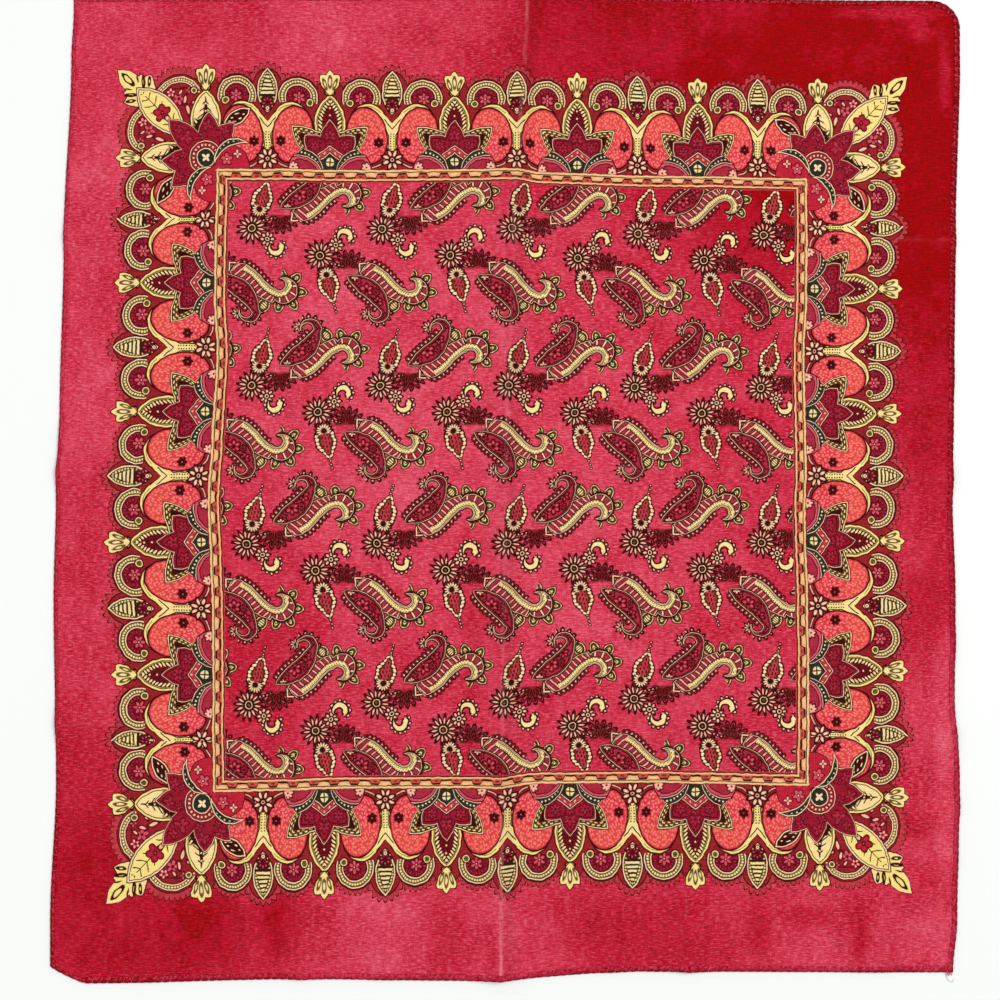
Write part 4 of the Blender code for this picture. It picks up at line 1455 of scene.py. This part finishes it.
def evenly(start, end):
    steps = max(1, round(abs(end - start) / hem["step"]))
    return [start + (end - start) * i / steps for i in range(steps + 1)]


def uprightHemPath(side, arcCorner):  # from the square corner, along the edge and round the far corner
    middle = hem["widths"][side] / 2.0
    sideX, sideY = arcCorner
    arc = cornerArc(arcCorner, middle)
    start = lies["bottomEdge" if sideY > 0 else "topEdge"][0 if sideX < 0 else -1][1]
    table = lies[side + "Edge"]
    straight = [(between(table, y) - sideX * middle, y) for y in evenly(start, arc[0][1])]
    return straight[:-1] + arc


def levelHemPath(side, arcCorner, other):  # from the end of that arc to the other side's hem
    middle = hem["widths"][side] / 2.0
    arcX, arcY = cornerArc(arcCorner, middle)[-1]
    outward = -arcCorner[0]
    start = arcX + outward * hem["gap"]
    end = between(lies[other + "Edge"], arcY) - outward * (hem["widths"][other] + hem["gap"])
    inward = -1.0 if side == "top" else 1.0
    return [(x, between(lies[side + "Edge"], x) + inward * middle) for x in evenly(start, end)]


hemPaths = {
    "left": uprightHemPath("left", (-1, -1)),
    "right": uprightHemPath("right", (1, 1)),
    "bottom": levelHemPath("bottom", (-1, -1), "right"),
    "top": levelHemPath("top", (1, 1), "left"),
}


def hemSection(side, along):  # the roll's ring as (aside, up) pairs, pulled in at each stitch
    halfWidth, height = hem["widths"][side] / 2.0, hem["heights"][side]
    ring = []
    for i in range(hem["sides"]):
        angle = 2.0 * math.pi * (i + 0.5) / hem["sides"]
        aside, up = math.cos(angle), 0.5 + 0.5 * math.sin(angle)
        lean = along / hem["stitch"] + hem["dimpleLean"] * aside
        pull = math.cos(math.pi * lean) ** hem["dimplePower"] * hem["dimple"]
        spot = Vector((along / hem["wanderSize"], i * 0.15, len(side)))
        plump = 1.0 + hem["wander"] * noise.noise(spot)
        ring.append((halfWidth * aside * (1.0 - 0.35 * pull) * (0.94 + 0.06 * plump),
                     height * max(0.02, min(1.0, up * 1.1 - 0.08)) * (1.0 - pull) * (0.8 + 0.2 * plump)))
    return ring


def sweepHem(side):
    path = hemPaths[side]
    mesh = bmesh.new()
    mapping = mesh.loops.layers.uv.new("roll")
    rings, places, dyeAndPaintedLightValues, along = [], [], [], 0.0
    for i, (x, y) in enumerate(path):
        before, after = path[max(0, i - 1)], path[min(len(path) - 1, i + 1)]
        ahead = Vector((after[0] - before[0], after[1] - before[1])).normalized()
        along += math.dist((x, y), before)
        lift = cloth["clearance"] + liftAt(x, y)
        ring = [
            mesh.verts.new(Vector((x + ahead.y * aside, y - ahead.x * aside, lift + up)) * mm)
            for aside, up in hemSection(side, along)
        ]
        rings.append(ring)
        places.append(along)
        dyeAndPaintedLightValues += [dyeAndPaintedLightAt(x, y, fromUprights(x, y)[1])] * hem["sides"]
    sides = hem["sides"]
    for i, (near, far) in enumerate(zip(rings, rings[1:])):
        for j in range(sides):
            k = (j + 1) % sides
            face = mesh.faces.new((near[j], far[j], far[k], near[k]))
            face.smooth = True
            spots = ((places[i], j), (places[i + 1], j), (places[i + 1], j + 1), (places[i], j + 1))
            for loop, (at, turn) in zip(face.loops, spots):
                loop[mapping].uv = (at, turn / sides * hem["mapAround"])
    mesh.faces.new(reversed(rings[0]))
    mesh.faces.new(rings[-1])
    bmesh.ops.recalc_face_normals(mesh, faces=mesh.faces)
    data = bpy.data.meshes.new("hem_roll_" + side)
    mesh.to_mesh(data)
    mesh.free()
    data.attributes.new("dyeAndPaintedLight", "FLOAT", "POINT").data.foreach_set("value", dyeAndPaintedLightValues)
    data.materials.append(hemMaterial)
    return addPiece("hem_roll_" + side, data)


rolled = {
    "inner": 3.67,  # where round the roll its inner side is, by its map
    "patchesAndShade": screenColour(162, 76, 150),
    "tuft": screenColour(230, 84, 112),
    "deeper": 0.16,  # than the cloth beside it
}


def buildHemMaterial():
    material, tree, shader = newMaterial("rolled_hem")
    roll = readMap(tree, "roll")
    point = Point(tree, roll)
    outward = abs(point.split()[1] - rolled["inner"])
    patch = streaks(tree, point, 3.2, 2.0).under(0.5, 0.12)
    dyeAndPaintedLight = Value(tree, readAttribute(tree, "dyeAndPaintedLight", "Fac")) - rolled["deeper"]
    colour = useGroup(tree, dyedGround, Place=roll, Fade=dyeAndPaintedLight)["Colour"]
    thread = streaks(tree, point.seenFrom((0.0, 0.0), 52.0), 3.0, 0.35, 1.0)
    colour = blend(tree, patch * 0.5, colour, rolled["patchesAndShade"], "MULTIPLY")
    # painted shade: darker towards the outer side of the roll, where it turns down
    colour = blend(tree, outward.share(2.2, 3.1), colour, rolled["patchesAndShade"], "MULTIPLY")
    tuft = streaks(tree, point, 1.7, 1.5).over(0.56, 0.06) * outward.under(1.6, 0.6)
    colour = blend(tree, tuft * 0.55, colour, rolled["tuft"])
    wire(tree, colour, shader.inputs["Base Color"])
    dressShader(tree, shader, Roughness=thread * 0.2 + 0.66)
    addBump(tree, shader, thread, 0.0002, 0.5)
    return material


hemMaterial = buildHemMaterial()
hemPieces = {side: sweepHem(side) for side in hemPaths}
print("hems", sum(len(piece.data.polygons) for piece in hemPieces.values()), "faces")


stitches = {
    "thread": 0.11,  # radius, as a share of the half width of a hem
    "bends": 9,
    "sides": 6,
    "start": -22.0,  # degrees round the roll
    "sweep": 224.0,
    "height": 0.4,  # of its middle, as a share of the hem's height
    "clearAside": 0.12,
    "clearUp": 0.14,
    "size": 1.5,
    "lean": 24.0,
    "uneven": 0.16,
    "seed": 7,
    "colour": screenColour(184, 24, 52),
    "wornColour": screenColour(224, 96, 114),
}


def buildThreadMaterial(name, colour, paler):
    material, tree, shader = newMaterial(name)
    place = addNode(tree, "ShaderNodeTexCoord").outputs["Object"]
    point = Point(tree, arrow(tree, "MULTIPLY", place, (1.0 / mm,) * 3, "Vector").socket)
    patch = streaks(tree, point, 9.0, 7.0)
    ply = streaks(tree, point, 0.3, 0.22, 0.0, 35.0)
    wire(tree, blend(tree, patch.share(0.35, 0.75), colour, paler), shader.inputs["Base Color"])
    dressShader(tree, shader, Roughness=ply * 0.2 + 0.6)
    addBump(tree, shader, ply, 0.00008, 0.4)
    return material


def buildStitchTree(material):
    takes = {"Places": "Geometry", "Thread": "Float", "Bends": "Int", "Uneven": "Float", "Seed": "Int"}
    tree, taken, given = newGroup("whipStitches", takes, {"Stitches": "Geometry"}, "GeometryNodeTree")

    def add(kind, sources, output, **settings):
        return addNode(tree, kind, sources, **settings).outputs[output]

    arc = {"Radius": 1.0, "Start Angle": math.radians(stitches["start"]),
           "Sweep Angle": math.radians(stitches["sweep"]), "Resolution": taken["Bends"]}
    bend = add("GeometryNodeCurveArc", arc, "Curve", mode="RADIUS")
    raised = add("GeometryNodeTransform", {"Geometry": bend, "Rotation": (math.radians(90.0), 0.0, 0.0)},
                 "Geometry")
    ring = {"Resolution": stitches["sides"], "Radius": taken["Thread"]}
    profile = add("GeometryNodeCurvePrimitiveCircle", ring, "Curve")
    swept = {"Curve": raised, "Profile Curve": profile, "Fill Caps": True}
    tube = add("GeometryNodeCurveToMesh", swept, "Mesh")
    turn = add("GeometryNodeInputNamedAttribute", {"Name": "turn"}, "Attribute", data_type="FLOAT")
    girth = add("GeometryNodeInputNamedAttribute", {"Name": "girth"}, "Attribute", data_type="FLOAT_VECTOR")
    chance = add("FunctionNodeRandomValue", {2: -1.0, 3: 1.0, "Seed": taken["Seed"]}, 1, data_type="FLOAT")
    heading = number(tree, "ADD", turn, number(tree, "MULTIPLY", taken["Uneven"], chance))
    turned = add("ShaderNodeCombineXYZ", {2: heading}, 0)
    sources = {"Points": taken["Places"], "Instance": tube, "Rotation": turned, "Scale": girth}
    placed = add("GeometryNodeInstanceOnPoints", sources, "Instances")
    real = add("GeometryNodeRealizeInstances", {"Geometry": placed}, "Geometry")
    painted = add("GeometryNodeSetMaterial", {"Geometry": real, "Material": material}, "Geometry")
    wire(tree, painted, given["Stitches"])
    return tree


def stitchPlaces(side):  # where each stitch crosses the roll, its heading, and its half width and height
    path, places = hemPaths[side], []
    halfWidth, height = hem["widths"][side] / 2.0, hem["heights"][side] * stitches["height"]
    girth = Vector((halfWidth + stitches["clearAside"], stitches["size"], height + stitches["clearUp"])) * mm
    along, following = 0.0, hem["stitch"]
    for (ax, ay), (bx, by) in zip(path, path[1:]):
        length = math.dist((ax, ay), (bx, by))
        while following <= along + length:
            share = (following - along) / length
            x, y = ax + (bx - ax) * share, ay + (by - ay) * share
            heading = math.atan2(ax - bx, by - ay) - math.radians(stitches["lean"])
            spot = Vector((x, y, cloth["clearance"] + liftAt(x, y) + height)) * mm
            places.append((spot, heading, girth))
            following += hem["stitch"]
        along += length
    return places


def buildStitches():
    places = [place for side in hemPaths for place in stitchPlaces(side)]
    mesh = bpy.data.meshes.new("stitch_places")
    mesh.from_pydata([spot for spot, _, _ in places], [], [])
    mesh.attributes.new("turn", "FLOAT", "POINT").data.foreach_set("value", [turn for _, turn, _ in places])
    girths = [value for _, _, girth in places for value in girth]
    mesh.attributes.new("girth", "FLOAT_VECTOR", "POINT").data.foreach_set("vector", girths)
    piece = addPiece("hem_stitches", mesh)
    material = buildThreadMaterial("sewing_thread", stitches["colour"], stitches["wornColour"])
    tree = buildStitchTree(material)
    sewn = piece.modifiers.new("sewn", "NODES")
    sewn.node_group = tree
    values = {"Thread": stitches["thread"], "Bends": stitches["bends"], "Uneven": stitches["uneven"],
              "Seed": stitches["seed"]}
    for item in tree.interface.items_tree:
        if item.in_out == "INPUT" and item.name in values:
            sewn[item.identifier] = values[item.name]
    piece = plainCopy(piece, "hem_stitches")
    piece.data.shade_smooth()
    print("stitches", len(places), "with", len(piece.data.polygons), "faces")
    return piece


looseThread = {  # at the lower right corner: a pale thread that loops back, and the frayed end of the roll
    "loop": ((260.9, -283.2, 1.2), (260.2, -285.6, 0.6), (260.6, -288.0, 0.3), (262.0, -290.0, 0.3),
             (263.6, -291.0, 0.3), (264.7, -290.3, 0.4), (264.6, -289.0, 0.7)),
    "loopRadius": 0.17,
    "frayRadius": 0.2,
    "fray": ((261.2, -283.6, -0.5, -3.2), (261.8, -283.8, 0.1, -3.5), (262.3, -283.6, 0.3, -3.0),
             (262.8, -284.0, 0.9, -3.1), (262.1, -283.9, -0.9, -2.9), (262.6, -284.1, 1.5, -2.3)),
    "loopColours": (screenColour(206, 192, 184), screenColour(236, 230, 224)),
    "frayColours": (screenColour(214, 96, 126), screenColour(240, 170, 184)),
}


def addThread(name, lines, radius, material):
    data = bpy.data.curves.new(name, "CURVE")
    data.dimensions = "3D"
    data.bevel_depth = radius * mm
    data.bevel_resolution = 1
    data.resolution_u = 6
    data.use_fill_caps = True
    for line in lines:
        spline = data.splines.new("NURBS")
        spline.points.add(len(line) - 1)
        for point, (x, y, z) in zip(spline.points, line):
            point.co = (x * mm, y * mm, z * mm, 1.0)
        spline.use_endpoint_u = True
        spline.order_u = 3
    data.materials.append(material)
    piece = plainCopy(addPiece(name, data), name)
    piece.data.shade_smooth()
    return piece


def buildLooseThreads():
    pale = buildThreadMaterial("loose_thread", *looseThread["loopColours"])
    pink = buildThreadMaterial("frayed_thread", *looseThread["frayColours"])
    frays = [((x, y, 1.0), (x + dx * 0.5, y + dy * 0.5, 0.8), (x + dx, y + dy, 0.3))
             for x, y, dx, dy in looseThread["fray"]]
    return [addThread("loose_thread", [looseThread["loop"]], looseThread["loopRadius"], pale),
            addThread("frayed_end", frays, looseThread["frayRadius"], pink)]


sewing = [buildStitches()] + buildLooseThreads()
print("sewing", sum(len(piece.data.polygons) for piece in sewing), "faces")


view = {"x": -2.95, "y": -6.2, "height": 640.0, "lens": 39.0, "sensor": 36.0}
studio = {
    "floor": 3.0,
    "floorColour": screenColour(250, 250, 247),
    "floorRoughness": 0.6,
    "floorSpecular": 0.2,
    "world": screenColour(240, 243, 245),
    "worldStrength": 0.66,
    "key": {"place": (1.5, 1.1, 1.9), "size": 0.8, "power": 31.0},
    "fill": {"place": (-1.1, -0.4, 1.5), "size": 1.6, "power": 8.5},
}


def addSoftLight(name, light):  # a lamp aimed at the middle of the cloth
    data = bpy.data.lights.new(name, "AREA")
    data.shape = "SQUARE"
    data.size = light["size"]
    data.energy = light["power"]
    lamp = addPiece(name, data)
    lamp.location = light["place"]
    lamp.rotation_euler = (Vector() - Vector(light["place"])).to_track_quat("-Z", "Y").to_euler()


def addFloor():
    mesh = bmesh.new()
    bmesh.ops.create_grid(mesh, x_segments=2, y_segments=2, size=studio["floor"] / 2.0)
    data = bpy.data.meshes.new("floor")
    mesh.to_mesh(data)
    mesh.free()
    material, tree, shader = newMaterial("pale_floor")
    shader.inputs["Base Color"].default_value = studio["floorColour"]
    shader.inputs["Roughness"].default_value = studio["floorRoughness"]
    shader.inputs["Specular IOR Level"].default_value = studio["floorSpecular"]
    data.materials.append(material)
    return addPiece("floor", data)


def addCamera():
    data = bpy.data.cameras.new("camera")
    data.lens = view["lens"]
    data.sensor_width = view["sensor"]
    data.clip_start = 0.01
    camera = addPiece("camera", data)
    camera.location = (view["x"] * mm, view["y"] * mm, view["height"] * mm)
    bpy.context.scene.camera = camera


floor = addFloor()
addCamera()
addSoftLight("key", studio["key"])
addSoftLight("fill", studio["fill"])
world = bpy.data.worlds.new("studio")
world.use_nodes = True
background = world.node_tree.nodes["Background"].inputs
background["Color"].default_value = studio["world"]
background["Strength"].default_value = studio["worldStrength"]
bpy.context.scene.world = world
bpy.context.scene.view_settings.view_transform = "Standard"
print("stage set")

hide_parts("cloth_panel")
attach(printedCloth, "root")
for side, piece in hemPieces.items():
    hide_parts("hem_" + side)
    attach(piece, "root")
for piece in sewing:
    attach(piece, "root")
